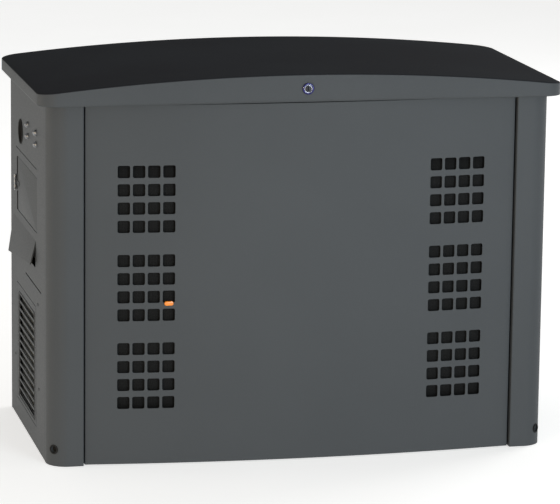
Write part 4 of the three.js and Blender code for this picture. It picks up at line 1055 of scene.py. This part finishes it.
def buildCylinder(v, name, x, lean):
    # drawn upright: a barrel with thin square fins, a finned head, a spark plug and a pressed rocker cover
    turn, place, look = turnX(lean), (x, v["crankY"], v["crankZ"]), "castAluminium"
    shells = [turned([(111, 0), (111, 38), (205, 38), (205, 0)], (0, 0, 1), (0, 0, 0), look, 40)]
    square = softened(box2(-46, 46, -46, 46), 14, 6, closed=True)
    for i in range(v["finCount"]):
        z = 116 + i * v["finPitch"]
        shells.append(prism(square, "z", z, z + v["finWall"], look, edge=0.8))
    head = softened(box2(-44, 44, -42, 42), 10, 6, closed=True)
    shells += [prism(head, "z", 201.5, 207, look, edge=1), prism(head, "z", 218, 223, look, edge=1),
               prism(inset(head) * 0.86, "z", 206, 219, look)]
    for k in np.linspace(-36, 36, 9):
        shells.append(prism(box2(k - 1.2, k + 1.2, -41, 41), "z", 206, 219, look))
    plug = np.array((0.0, -42.0, 212.0))
    shells += [turned([(-2, 0), (-2, 8), (5, 8), (6, 6), (6, 0)], (0, -1, 0), plug, "zincSteel", 6),
               turned(softened([(5, 0), (5, 9), (26, 8), (30, 5), (30, 0)], [0, 1, 3, 2, 0], 4), (0, -1, 0), plug,
                      "rubber", 24)]
    addPiece(f"cylinder{name}", [moved(shell, place, turn) for shell in shells], "cabinet",
             [f"cylinder_{name.lower()}"], sharp=35)
    cover = softened(box2(-40, 40, -36, 36), 12, 8, closed=True)
    crown = prism(cover * 0.9, "z", 230, 249, "blackPaint", edge=4)
    lip = prism(cover, "z", 223.4, 231, "blackPaint", edge=1.5)
    bolts = [shell for bx, by in ((-33, 0), (33, 0)) for shell in hexHead((bx * 1.12, by, 231), (0, 0, 1), 6, 4,
                                                                         "zincSteel")]
    addPiece(f"rockerCover{name}", [moved(shell, place, turn) for shell in (crown, lip, *bolts)], "cabinet",
             [f"rocker_cover_{name.lower()}"], sharp=35)


def buildFan(v):
    centre = (0, v["crankY"], v["crankZ"])
    ring = softened([(2, 118), (50, 118), (50, 75), (52.4, 75), (53, 76), (53, 122), (2, 122)],
                    [0.6, 3, 0.8, 0.8, 0.5, 7, 0.6], 5, closed=True)
    shells = [turned(ring, (1, 0, 0), centre, "blackPaint", 96, closed=True)]
    for angle in np.radians([30, 90, 150, 210, 270, 330]):
        place = np.array(centre) + (53, 98 * math.cos(angle), 98 * math.sin(angle))
        shells += hexHead(place, (1, 0, 0), 8, 5, "zincSteel")
    for r in (76, 64, 52, 40, 28):  # guard rings in front of the inlet
        path = np.column_stack([np.full(48, 51.6), np.cos(np.arange(48) / 24 * math.pi) * r,
                                np.sin(np.arange(48) / 24 * math.pi) * r]) + (0, v["crankY"], v["crankZ"])
        shells.append(swept(path, ringOf(0, 0, 1.1, 8), "zincSteel", upward=(1, 0, 0), closed=True))
    for angle in np.radians([0, 60, 120, 180, 240, 300]):
        way = np.array((0, math.cos(angle), math.sin(angle)))
        shells.append(swept(np.array([np.array(centre) + (53, 0, 0) + way * r for r in (26, 50, 78)]),
                            ringOf(0, 0, 1.2, 8), "zincSteel", upward=(1, 0, 0)))
    addPiece("blowerHousing", shells, "cabinet", ["blower_housing"], sharp=35)
    disc = softened([(8, 17.6), (8, 104), (12, 104), (16, 60), (20, 42), (38, 34), (40, 28), (40, 17.6)],
                    [0, 1, 1, 12, 10, 6, 2, 0], 5)
    fan = [turned(disc, (1, 0, 0), centre, "castAluminium", 72, closed=True)]
    t = np.linspace(0, 1, 7)
    for k in range(v["blades"]):  # blades that curve backwards from the hub to the rim
        angle = k * 2 * math.pi / v["blades"] + 0.35 * t
        r = 56 + 44 * t
        path = np.column_stack([np.full(7, 24.0), v["crankY"] + r * np.cos(angle), v["crankZ"] + r * np.sin(angle)])
        section = np.array([(-1.3, -13), (1.3, -13), (0.9, 14), (-0.9, 14)])
        fan.append(swept(path, section, "castAluminium", upward=(1, 0, 0)))
    addPiece("flywheelFan", fan, "shaft", ["flywheel_fan"], sharp=35)


def buildAlternator(v):
    centre, along = (0, v["crankY"], v["crankZ"]), (1, 0, 0)
    steel = "machinedSteel"
    journal = [(-440, 0), (-440, 15.5), (-438.5, 17), (-385, 17), (30, 17), (30, 0)]
    shells = [turned(journal, along, centre, steel, 40),
              turned(softened([(-385, 16), (-385, 30), (-380, 58), (-372, 61), (-248, 61), (-240, 58), (-235, 30),
                               (-235, 16)], [0, 4, 3, 1, 1, 3, 4, 0], 4), along, centre, steel, 64, closed=True)]
    addPiece("rotorShaft", shells, "shaft", ["rotor_shaft"], sharp=35)

    stator = softened([(-390, 66), (-390, 103), (-384, 105), (-212, 105), (-205, 112), (-170.5, 112), (-170.5, 40),
                       (-186, 34), (-215, 66)], [1, 1, 2, 5, 3, 2, 3, 5, 6], 4, closed=True)
    stack = [turned(stator, along, centre, "castAluminium", 72, closed=True)]
    for angle in np.arange(36) * math.pi / 18:  # cooling ribs along the barrel
        way = np.array((0, math.cos(angle), math.sin(angle)))
        middle = np.array(centre) + way * 106.5
        stack.append(swept(np.array([middle + (x, 0, 0) for x in (-383, -300, -216)]),
                           np.array([(-1.2, -3), (1.2, -3), (0.8, 4.5), (-0.8, 4.5)]), "castAluminium",
                           upward=tuple(way)))
    junction = prism(softened(box2(-345, -255, -34, 54), 6, 4, closed=True), "z", 318, 352, "blackPaint", edge=2)
    stack += [junction, *[shell for dx, dy in ((-338, -27), (-262, -27), (-338, 47), (-262, 47))
                          for shell in hexHead((dx, dy, 352), (0, 0, 1), 6, 3.5, "zincSteel")]]
    addPiece("alternatorStator", stack, "cabinet", ["alternator_stator"], sharp=35)

    bracket = softened([(-428, 18), (-428, 58), (-408, 105), (-390.6, 105), (-390.6, 96), (-402, 96), (-418, 56),
                        (-418, 18)], [0.5, 8, 4, 0.5, 0.5, 4, 6, 0.5], 5, closed=True)
    shells = [turned(bracket, along, centre, "castAluminium", 72, closed=True),
              turned(softened([(-434, 18.4), (-434, 30), (-427, 34), (-427, 18.4)], [0, 2, 2, 0], 4, closed=True),
                     along, centre, "castAluminium", 48, closed=True)]
    for angle in np.radians([45, 135, 225, 315]):
        place = np.array(centre) + (-424, 64 * math.cos(angle), 64 * math.sin(angle))
        shells += hexHead(place, (-1, 0, 0), 9, 6, "zincSteel")
    addPiece("alternatorBracket", shells, "cabinet", ["alternator_end_bracket"], sharp=35)


mount = {"places": ((-165, -97), (-165, 117), (-22, -97), (-22, 117)), "boltAcross": 10, "boltHeight": 6}


def buildMounts(v):
    for number, (x, y) in enumerate(v["places"], 1):
        profile = softened([(20.9, 0), (20.9, 22), (27, 22), (33, 16.5), (47, 16.5), (54, 21), (59.6, 21), (59.6, 0)],
                           [0, 1, 4, 6, 6, 4, 1, 0], 4)
        shells = [turned(profile, (0, 0, 1), (x, y, 0), "rubber", 36)]
        shells += hexHead((x, y, 69.6), (0, 0, 1), v["boltAcross"], v["boltHeight"], "zincSteel")
        addPiece(f"rubberMount{number}", shells, "cabinet", [f"rubber_mount_{number}"], sharp=35)


buildCrankcase(engine)
buildCylinder(engine, "Front", -118, math.pi / 4)
buildCylinder(engine, "Rear", -62, -math.pi / 4)
buildFan(engine)
buildAlternator(engine)
buildMounts(mount)
print("engine made")

# Fittings on the engine.

fitting = {"handleR": 5.0, "tubeR": 7.0, "stickX": -267.5, "stickY": -226.0, "stickZ": 319.4}


def buildFittings():
    mixer = [prism(softened(box2(-112, -58, -14, 34), 10, 5, closed=True), "z", 318, 440, "castAluminium", edge=2),
             prism(softened(box2(-120, -50, -22, 42), 8, 5, closed=True), "z", 300.4, 310, "castAluminium", edge=1.5),
             prism(softened(box2(-120, -50, -22, 42), 8, 5, closed=True), "z", 448, 458, "castAluminium", edge=1.5),
             turned([(300.6, 0), (300.6, 24), (457, 24), (457, 0)], (0, 0, 1), (-85, 10, 0), "castAluminium", 32),
             turned(softened([(0, 0), (0, 16), (26, 16), (26, 0)], [0, 2, 3, 0], 4), (0, -1, 0), (-85, -12, 400),
                    "zincSteel", 32)]
    mixer += [shell for x, y in ((-113, -15), (-57, -15), (-113, 35), (-57, 35))
              for shell in hexHead((x, y, 310), (0, 0, 1), 7, 5, "zincSteel")]
    addPiece("gasMixer", mixer, "cabinet", ["gas_mixer"], sharp=35)

    plan = softened(box2(-150, 30, -80, 100), 24, 8, closed=True)
    cleaner = [prism(plan, "z", 458.4, 496, "blackPlastic", edge=4), prism(plan, "z", 499, 540, "blackPlastic", edge=7),
               prism(inset(plan) * 0.985 + (-0.9, 0.15), "z", 494, 501, "blackPlastic")]
    for x in (-112, -60, -8):
        cleaner.append(prism(softened(box2(x - 9, x + 9, -68, 88), 6, 4, closed=True), "z", 538.5, 541.5,
                             "blackPlastic", edge=1))
    for y, normal in ((-80, -1), (100, 1)):
        for x in (-110, -10):
            cleaner.append(prism(softened(box2(x - 10, x + 10, 484, 514), 4, 3, closed=True), "y",
                                 min(y, y + normal * 3), max(y, y + normal * 3), "zincSteel", edge=0.6))
    addPiece("airCleaner", cleaner, "cabinet", ["air_cleaner"], sharp=35)

    can = softened([(0.4, 0), (0.4, 30), (5, 36), (68, 36), (78, 28), (78, 0)], [0, 2, 3, 8, 8, 0], 6)
    shells = [turned(can, (0, -1, 0), (-60, -85, 112), "filterPaint", 48)]
    angle = np.arange(14) / 14 * 2 * math.pi
    for k in angle:  # wrench flats near the end
        way = np.array((math.cos(k), 0, math.sin(k)))
        shells.append(swept(np.array([np.array((-60, y, 112)) + way * 34.6 for y in (-142, -148, -155)]),
                            np.array([(-2.4, -1.5), (2.4, -1.5), (1.6, 1.4), (-1.6, 1.4)]), "filterPaint",
                            upward=tuple(way)))
    addPiece("oilFilter", shells, "cabinet", ["oil_filter"], sharp=35)

    starter = softened([(-150, 0), (-150, 28), (-143, 35), (-52, 35), (-48, 33), (-45, 26), (-14, 26), (-14, 0)],
                       [0, 4, 3, 1, 1, 3, 3, 0], 5)
    shells = [turned(starter, (1, 0, 0), (0, -122, 196), "blackPaint", 48),
              turned(softened([(-128, 0), (-128, 17), (-62, 17), (-58, 12), (-58, 0)], [0, 2, 2, 2, 0], 4), (1, 0, 0),
                     (0, -122, 250), "blackPaint", 36),
              prism(box2(-130, -114, 218, 248), "x", -118, -72, "blackPaint"),
              turned([(-133, 0), (-133, 5), (-128, 5), (-128, 0)], (1, 0, 0), (0, -122, 256), "brass", 16),
              turned([(-152.5, 0), (-152.5, 6), (-149, 6), (-149, 0)], (1, 0, 0), (0, -122, 196), "zincSteel", 6)]
    addPiece("starterMotor", shells, "cabinet", ["starter_motor"], sharp=35)


def quarterBend(start, corner, end, steps=10):
    # a quadratic curve: (1-t)^2 start + 2 t (1-t) corner + t^2 end
    t = np.linspace(0, 1, steps + 1)[:, None]
    return (1 - t) ** 2 * np.array(start) + 2 * t * (1 - t) * np.array(corner) + t ** 2 * np.array(end)


def buildDipstick(v):
    x, y, z = v["stickX"], v["stickY"], v["stickZ"]
    path = np.concatenate([[(-150, -85.4, 138)], quarterBend((-150, -130, 138), (-150, y, 138), (-210, y, 138)),
                           quarterBend((-210, y, 138), (x, y, 138), (x, y, 200))[1:], [(x, y, 303)]])
    run = np.gradient(path, axis=0)
    run /= np.linalg.norm(run, axis=1, keepdims=True)
    side = np.cross(run, (0.35, -0.3, 0.89))
    side /= np.linalg.norm(side, axis=1, keepdims=True)
    up = np.cross(side, run)
    ring = ringOf(0, 0, v["tubeR"], 20)
    skin = path[:, None] + ring[None, :, :1] * side[:, None] + ring[None, :, 1:] * up[:, None]
    mouth = turned(softened([(300, 5), (300, 7.6), (311, 7.6), (311, 5)], [0, 1, 1, 0.4], 3, closed=True), (0, 0, 1),
                   (x, y, 0), "zincSteel", 28, closed=True)
    collar = turned(softened([(-12, 7), (-12, 11), (-0.4, 13), (-0.4, 7)], [0, 1, 1, 0], 3, closed=True), (0, -1, 0),
                    (-150, -97.5, 138), "zincSteel", 28, closed=True)
    addPiece("dipstickTube", [gridShell(skin, "zincSteel", loopColumns=True, caps=True), mouth, collar], "cabinet",
             ["dipstick_tube"], sharp=35)
    outer = softened(box2(-10.5, 10.5, 0, 14), v["handleR"], 8, closed=True)
    hole = softened(box2(-5.6, 5.6, 4.2, 9.8), 2.6, 8, closed=True)
    loop = np.stack([np.column_stack([ring[:, 0] + x, np.full(len(ring), y + depth), ring[:, 1] + z])
                     for ring, depth in ((outer, -2.2), (outer, 2.2), (outer * 0.94 + (0, 0.4), 3.0), (hole, 3.0),
                                         (hole, -3.0), (outer * 0.94 + (0, 0.4), -3.0))])
    shells = [gridShell(loop, "orangePlastic", loopRows=True, loopColumns=True),
              turned(softened([(-8, 0), (-8, 6.0), (1, 6.5), (1, 0)], [0, 1, 1, 0], 3), (0, 0, 1), (x, y, z),
                     "orangePlastic", 28),
              turned([(-78, 0), (-78, 2.2), (-7, 2.2), (-7, 0)], (0, 0, 1), (x, y, z), "stainless", 14)]
    for k in (-6.0, -3.4):
        shells.append(turned(ringOf(k, 6.3, 0.8, 8), (0, 0, 1), (x, y, z), "rubber", 28, closed=True))
    addPiece("dipstickPull", shells, "dipstick", ["dipstick"], sharp=35)


buildFittings()
buildDipstick(fitting)
print("engine fittings made")
# Gas line and exhaust.

bay = {"tapX": 120.0, "tapY": 228.0, "tapZ": 130.0, "mufflerX": 335.0, "mufflerZ": 300.0, "mufflerR": 80.0,
       "mufflerHalf": 185.0, "pipeR": 16.0}


def tubeAlong(path, radius, finishName, bore=0.0, steps=24):
    # a round pipe; its frame is carried from point to point so that it never turns over
    path = np.asarray(path, float)
    run = np.gradient(path, axis=0)
    run /= np.linalg.norm(run, axis=1, keepdims=True)
    hint = np.array((0.31, 0.2, 0.93)) if abs(run[0] @ (0.31, 0.2, 0.93)) < 0.85 else np.array((0.9, 0.3, 0.1))
    sides = []
    for way in run:
        side = np.cross(way, hint)
        sides.append(side / np.linalg.norm(side))
        hint = np.cross(sides[-1], way)
    side = np.array(sides)
    up = np.cross(side, run)
    ring = ringOf(0, 0, 1, steps)
    # each ring lies across the run: point + radius * (cos * side + sin * up)
    across = ring[None, :, :1] * side[:, None] + ring[None, :, 1:] * up[:, None]
    outside = path[:, None] + radius * across
    if not bore:
        return gridShell(outside, finishName, loopColumns=True, caps=True)
    walls = np.concatenate([outside, (path[:, None] + bore * across)[::-1]])
    return gridShell(walls, finishName, loopRows=True, loopColumns=True)


def buildGasLine(v):
    x, y, z = v["tapX"], v["tapY"], v["tapZ"]
    profile = softened([(-26, 0), (-26, 24), (-20, 26), (-18, 50), (-4, 56), (4, 56), (18, 50), (20, 26), (24, 20),
                        (24, 0)], [0, 2, 3, 5, 2, 2, 5, 3, 2, 0], 5)
    body = turned(profile, (0, 1, 0), (x, 215, 330), "castAluminium", 64)
    rim = []
    for angle in np.arange(8) * math.pi / 4 + 0.2:
        place = np.array((x + 49.5 * math.cos(angle), 198.5, 330 + 49.5 * math.sin(angle)))
        rim += hexHead(place, (0, -1, 0), 6, 4, "zincSteel")
    ports = [turned([(44, 0), (44, 13), (60, 13), (60, 0)], (0, 0, -1), (x, 215, 330), "castAluminium", 6),
             turned(softened([(22, 0), (22, 10), (34, 10), (34, 0)], [0, 1, 2, 0], 3), (0, -1, 0), (x, 215, 330),
                    "zincSteel", 24)]
    addPiece("gasRegulator", [body, *rim, *ports], "cabinet", ["gas_regulator"], sharp=35)

    t = np.linspace(0, math.pi, 13)
    ball = np.column_stack([-20 * np.cos(t), 20 * np.sin(t)])
    shells = [turned([(-28, 0), (-28, 14), (61.2, 14), (61.2, 0)], (0, 1, 0), (x, y, z), "brass", 32),
              turned(ball, (0, 0, 1), (x, y, z), "brass", 32),
              turned([(-30, 0), (-30, 17), (-16, 17), (-16, 0)], (0, 1, 0), (x, y, z), "brass", 6),
              turned([(15, 0), (15, 9), (140, 9), (140, 0)], (0, 0, 1), (x, y, z), "brass", 28),
              turned([(13, 0), (13, 14.5), (27, 14.5), (27, 0)], (0, 0, 1), (x, y, z), "brass", 6),
              turned([(122, 0), (122, 14), (137, 14), (137, 0)], (0, 0, 1), (x, y, z), "brass", 6)]
    for k in np.arange(46.5, 61, 2.2):  # thread at the inlet
        shells.append(turned([(k - 0.8, 13.5), (k, 14.6), (k + 0.8, 13.5)], (0, 1, 0), (x, y, z), "brass", 32))
    addPiece("gasValve", shells, "cabinet", ["gas_valve"], sharp=35)

    place = (x + 20.4, y, z)
    grip = softened(box2(-7, 7, -2, 60), [4, 4, 7, 7], 6, closed=True)
    shells = [turned(softened([(0, 0), (0, 8), (8, 8), (8, 0)], [0, 0.6, 1.4, 0], 4), (1, 0, 0), place,
                     "orangePlastic", 28),
              moved(prism(grip, "x", 3, 7, "orangePlastic", edge=1), place),
              turned([(8, 0), (8, 4.5), (11, 4.5), (11, 0)], (1, 0, 0), place, "zincSteel", 6)]
    addPiece("gasLever", shells, "gas_lever", ["gas_lever"], sharp=35)


def buildExhaust(v):
    x, z, r, half, look = v["mufflerX"], v["mufflerZ"], v["mufflerR"], v["mufflerHalf"], "exhaustSteel"
    profile = softened([(-half, 0), (-half, r - 20), (-half + 14, r), (half - 14, r), (half, r - 20), (half, 0)],
                       [0, 12, 7, 7, 12, 0], 6)
    shells = [turned(profile, (0, 1, 0), (x, 0, z), look, 80)]
    for y in (-half + 16, half - 16):  # rolled seams
        shells.append(turned(ringOf(y, r + 0.4, 2.6, 12), (0, 1, 0), (x, 0, z), look, 80, closed=True))
    for y in (-90, 90):  # straps with a saddle down to the tray
        shells.append(turned(softened([(y - 14, r - 0.5), (y - 14, r + 2), (y + 14, r + 2), (y + 14, r - 0.5)], 0.6, 3,
                                      closed=True), (0, 1, 0), (x, 0, z), "zincSteel", 80, closed=True))
    down = np.array([(x, 30, z - r + 8), (x, 30, 190), (x, 30, 170)])
    bend = quarterBend((x, 30, 170), (x, 30, 120), (x + 50, 30, 120), 12)
    path = np.concatenate([down[:2], bend, [(450, 30, 120), (515, 30, 120)]])
    shells.append(tubeAlong(path, 22, look, bore=19.5, steps=32))
    shells.append(turned(softened([(-6, 22), (-6, 27), (6, 27), (6, 22)], 1.5, 4, closed=True), (0, 0, 1), (x, 30, 221),
                         look, 40, closed=True))
    addPiece("muffler", shells, "cabinet", ["muffler"], sharp=35)

    y = -145
    pipe = smoothPath([(-62, y, 366), (60, y, 384), (150, y, 366), (203, y, 326), (232, y, 301), (254.2, y, 300)], 8)
    shells = [tubeAlong(pipe, v["pipeR"], look, steps=32)]
    flange = turned(softened([(0, 17), (0, 26), (5, 26), (5, 17)], 1, 3, closed=True), (1, 0.08, 0.1), (-60, y, 366.3),
                    look, 40, closed=True)
    wrap = [turned(ringOf(0, v["pipeR"] + 0.8, 2.2, 8), pipe[i + 1] - pipe[i], pipe[i], "castAluminium", 32,
                   closed=True)
            for i in range(8, 20)]
    addPiece("exhaustPipe", [*shells, flange, *wrap], "cabinet", ["exhaust_pipe"], sharp=35)


buildGasLine(bay)
buildExhaust(bay)
print("gas line and exhaust made")

# Controls, breaker, battery and strut.

control = {"x0": -430.0, "x1": -170.0, "slope": math.atan2(57.0, 95.0), "midY": -167.5, "midZ": 668.5,
           "buttons": (("off", -235.0, "redPlastic", "red_plastic"),
                       ("manual", -212.0, "whitePlastic", "white_plastic"),
                       ("auto", -189.0, "greenPlastic", "green_plastic"))}


def onFascia(v, shell):
    return moved(shell, (0, v["midY"], v["midZ"]), turnX(v["slope"]))


def buildControls(v):
    # the case is one wall carried round: outside profile forward, inside profile back
    outer = softened([(-40, 600), (-215, 600), (-215, 640), (-120, 697), (-40, 697)], [0, 5, 8, 10, 0], 5)
    inner = softened([(-40, 603), (-212, 603), (-212, 638.2), (-119.1, 694), (-40, 694)], [0, 3, 6, 8, 0], 5)
    section = np.concatenate([outer, inner[::-1]])
    shells = [prism(section, "x", v["x0"], v["x1"], "blackPlastic")]
    side = softened([(-41, 601), (-214, 601), (-214, 640), (-120, 696), (-41, 696)], [0, 5, 8, 10, 0], 5)
    for x in (v["x0"] + 0.6, v["x1"] - 3.4):
        shells.append(prism(side, "x", x, x + 2.8, "blackPlastic"))
    bezel = []
    for inward, height in ((0, 0.3), (0, 2.6), (3.5, 3.2), (6, 1.2), (6, 0.3)):
        edge = softened(box2(-408 + inward, -262 - inward, -36 + inward, 36 - inward), 8 - inward * 0.8, 5, closed=True)
        bezel.append(np.column_stack([edge, np.full(len(edge), height)]))
    shells.append(onFascia(v, gridShell(np.stack(bezel), "blackPlastic", loopRows=True, loopColumns=True)))
    for _, x, _, _ in v["buttons"]:  # a raised collar round each button, and a lamp above it
        collar = turned(ringOf(0.6, 9.8, 1.3, 10), (0, 0, 1), (x, 0, 0), "blackPlastic", 36, closed=True)
        shells.append(onFascia(v, collar))
    for _, x, look, _ in v["buttons"]:
        shells.append(onFascia(v, domeHead((x, 24, 0.4), (0, 0, 1), 2.4, 1.6, look)))
    addPiece("controlCase", shells, "cabinet", ["control_box"], sharp=35)
    glass = prism(softened(box2(-400, -270, -28, 28), 3, 4, closed=True), "z", 0.4, 4, "displayGlass", edge=0.5)
    addPiece("controlDisplay", [onFascia(v, glass)], "cabinet", ["display"], bevel=0)
    for name, x, look, slot in v["buttons"]:
        cap = softened([(-7, 0), (-7, 8), (6, 8), (5, 0)], [0, 0.5, 2, 0], 5)
        addPiece(f"{name}Button", [onFascia(v, turned(cap, (0, 0, 1), (x, 0, 0), look, 40))], f"button_{name}",
                 [f"button_{name}"])


def buildBreaker():
    wall = []
    for inward, x in ((0, -468), (0, -517.5), (0, -519), (2, -519), (2, -470)):
        edge = softened(box2(-102 + inward, 152 - inward, 462 + inward, 566 - inward), 7 - inward, 6, closed=True)
        wall.append(np.column_stack([np.full(len(edge), float(x)), edge]))
    tub = gridShell(np.stack(wall), "blackPlastic", loopColumns=True, caps=True)
    addPiece("breakerTub", [tub], "cabinet", ["breaker_box"], sharp=35)
    outer = softened(box2(-36, 36, 473, 557), 3, 4, closed=True)
    parts = [prism(outer, "x", -492, -470.4, "blackPlastic", edge=1)]
    surround = ((-36, -12, 473, 557), (12, 36, 473, 557), (-12, 12, 473, 495), (-12, 12, 535, 557))
    for y0, y1, z0, z1 in surround:
        parts.append(prism(box2(y0, y1, z0, z1), "x", -503, -490, "blackPlastic"))
    for y in (-24, 24):
        for z in (482, 548):
            parts.append(turned([(-0.5, 0), (-0.5, 5), (1.6, 5), (1.0, 0)], (-1, 0, 0), (-503, y, z), "zincSteel", 24))
    for y in (88, 118):  # outlet glands for the installer's wiring
        parts.append(turned(softened([(0, 0), (0, 11), (9, 11), (12, 8), (12, 0)], [0, 1, 1, 2, 0], 3), (-1, 0, 0),
                            (-470.6, y, 514), "blackPlastic", 28))
    addPiece("mainBreaker", parts, "cabinet", ["main_breaker"], sharp=35)
    blade = softened([(-16, -3), (0, -4), (0, 4), (-16, 3)], [2, 1, 1, 2], 5, closed=True)
    lever = [turned(softened([(-10, 0), (-10, 5), (10, 5), (10, 0)], [0, 1, 1, 0], 3), (0, 1, 0), (0, 0, 0),
                    "orangePlastic", 28), prism(blade, "y", -7, 7, "orangePlastic", edge=0.8)]
    lever = [moved(shell, (-497, 0, 515), turnY(math.radians(30))) for shell in lever]
    addPiece("breakerHandle", lever, "breaker_lever", ["breaker_lever"], sharp=35)


battery = {"capX": (60, 107, 154), "capY": (-160, -140), "ribX": (34, 180), "ribs": 11, "postY": -200,
           "posts": ((45, "redPlastic"), (169, "blackPlastic"))}


def buildBattery(v):
    case = prism(softened(box2(22, 192, -228, -118), 6, 5, closed=True), "z", 20.9, 184.5, "blackPlastic", edge=2)
    top = prism(softened(box2(20, 194, -230, -116), 8, 5, closed=True), "z", 184, 196, "blackPlastic", edge=2.5)
    shells = [case, top]
    for x in v["capX"]:  # cell caps along the middle of the lid
        for y in v["capY"]:
            shells.append(turned(softened([(0, 0), (0, 9), (3, 8.6), (3, 0)], [0, 0.4, 1, 0], 3), (0, 0, 1),
                                 (x, y, 195.6), "blackPlastic", 28))
    for x in np.linspace(*v["ribX"], v["ribs"]):  # ribs on the front wall
        rib = softened(box2(x - 2, x + 2, -229.2, -226), 1, 3, closed=True)
        shells.append(prism(rib, "z", 40, 170, "blackPlastic"))
    for x, cover in v["posts"]:
        shells.append(turned([(195, 0), (195, 7), (208, 6.4), (208, 0)], (0, 0, 1), (x, v["postY"], 0),
                             "zincSteel", 28))
        shells.append(turned(softened([(195.8, 0), (195.8, 13), (203, 12), (203, 0)], [0, 1, 2, 0], 3), (0, 0, 1),
                             (x, v["postY"], 0), cover, 32))
    addPiece("starterBattery", shells, "cabinet", ["battery"], sharp=35)


strut = {"foot": (484.0, -75.5, 650.0), "head": (484.0, 156.5, 757.0), "tubeR": 9, "rodR": 4}


def buildStrut(v):
    foot, head = np.array(v["foot"]), np.array(v["head"])
    along = head - foot
    length = float(np.linalg.norm(along))
    body = turned(softened([(6, 0), (6, v["tubeR"]), (163, v["tubeR"]), (165, 7), (165, 4.6), (14, 4.6), (14, 0)],
                           [0, 2, 2, 1, 0.5, 0, 0], 4), along, foot, "blackPaint", 36)
    eye = turned(softened([(-6, 0), (-6, 9), (6, 9), (6, 0)], [0, 1, 1, 0], 3), (1, 0, 0), foot, "blackPaint", 32)
    bolt = hexHead(foot - (5.8, 0, 0), (-1, 0, 0), 8, 5, "zincSteel")
    addPiece("strutBarrel", [body, eye, *bolt], "strut", ["strut_cylinder"], sharp=35)
    rod = turned([(16, 0), (16, v["rodR"]), (length, v["rodR"]), (length, 0)], along, foot, "stainless", 28)
    end = turned(softened([(-5, 0), (-5, 7), (5, 7), (5, 0)], [0, 1, 1, 0], 3), (1, 0, 0), head, "zincSteel", 28)
    addPiece("strutPlunger", [rod, end], "strut_rod", ["strut_rod"], sharp=35)


buildControls(control)
buildBreaker()
buildBattery(battery)
buildStrut(strut)
print("controls, battery and strut made")
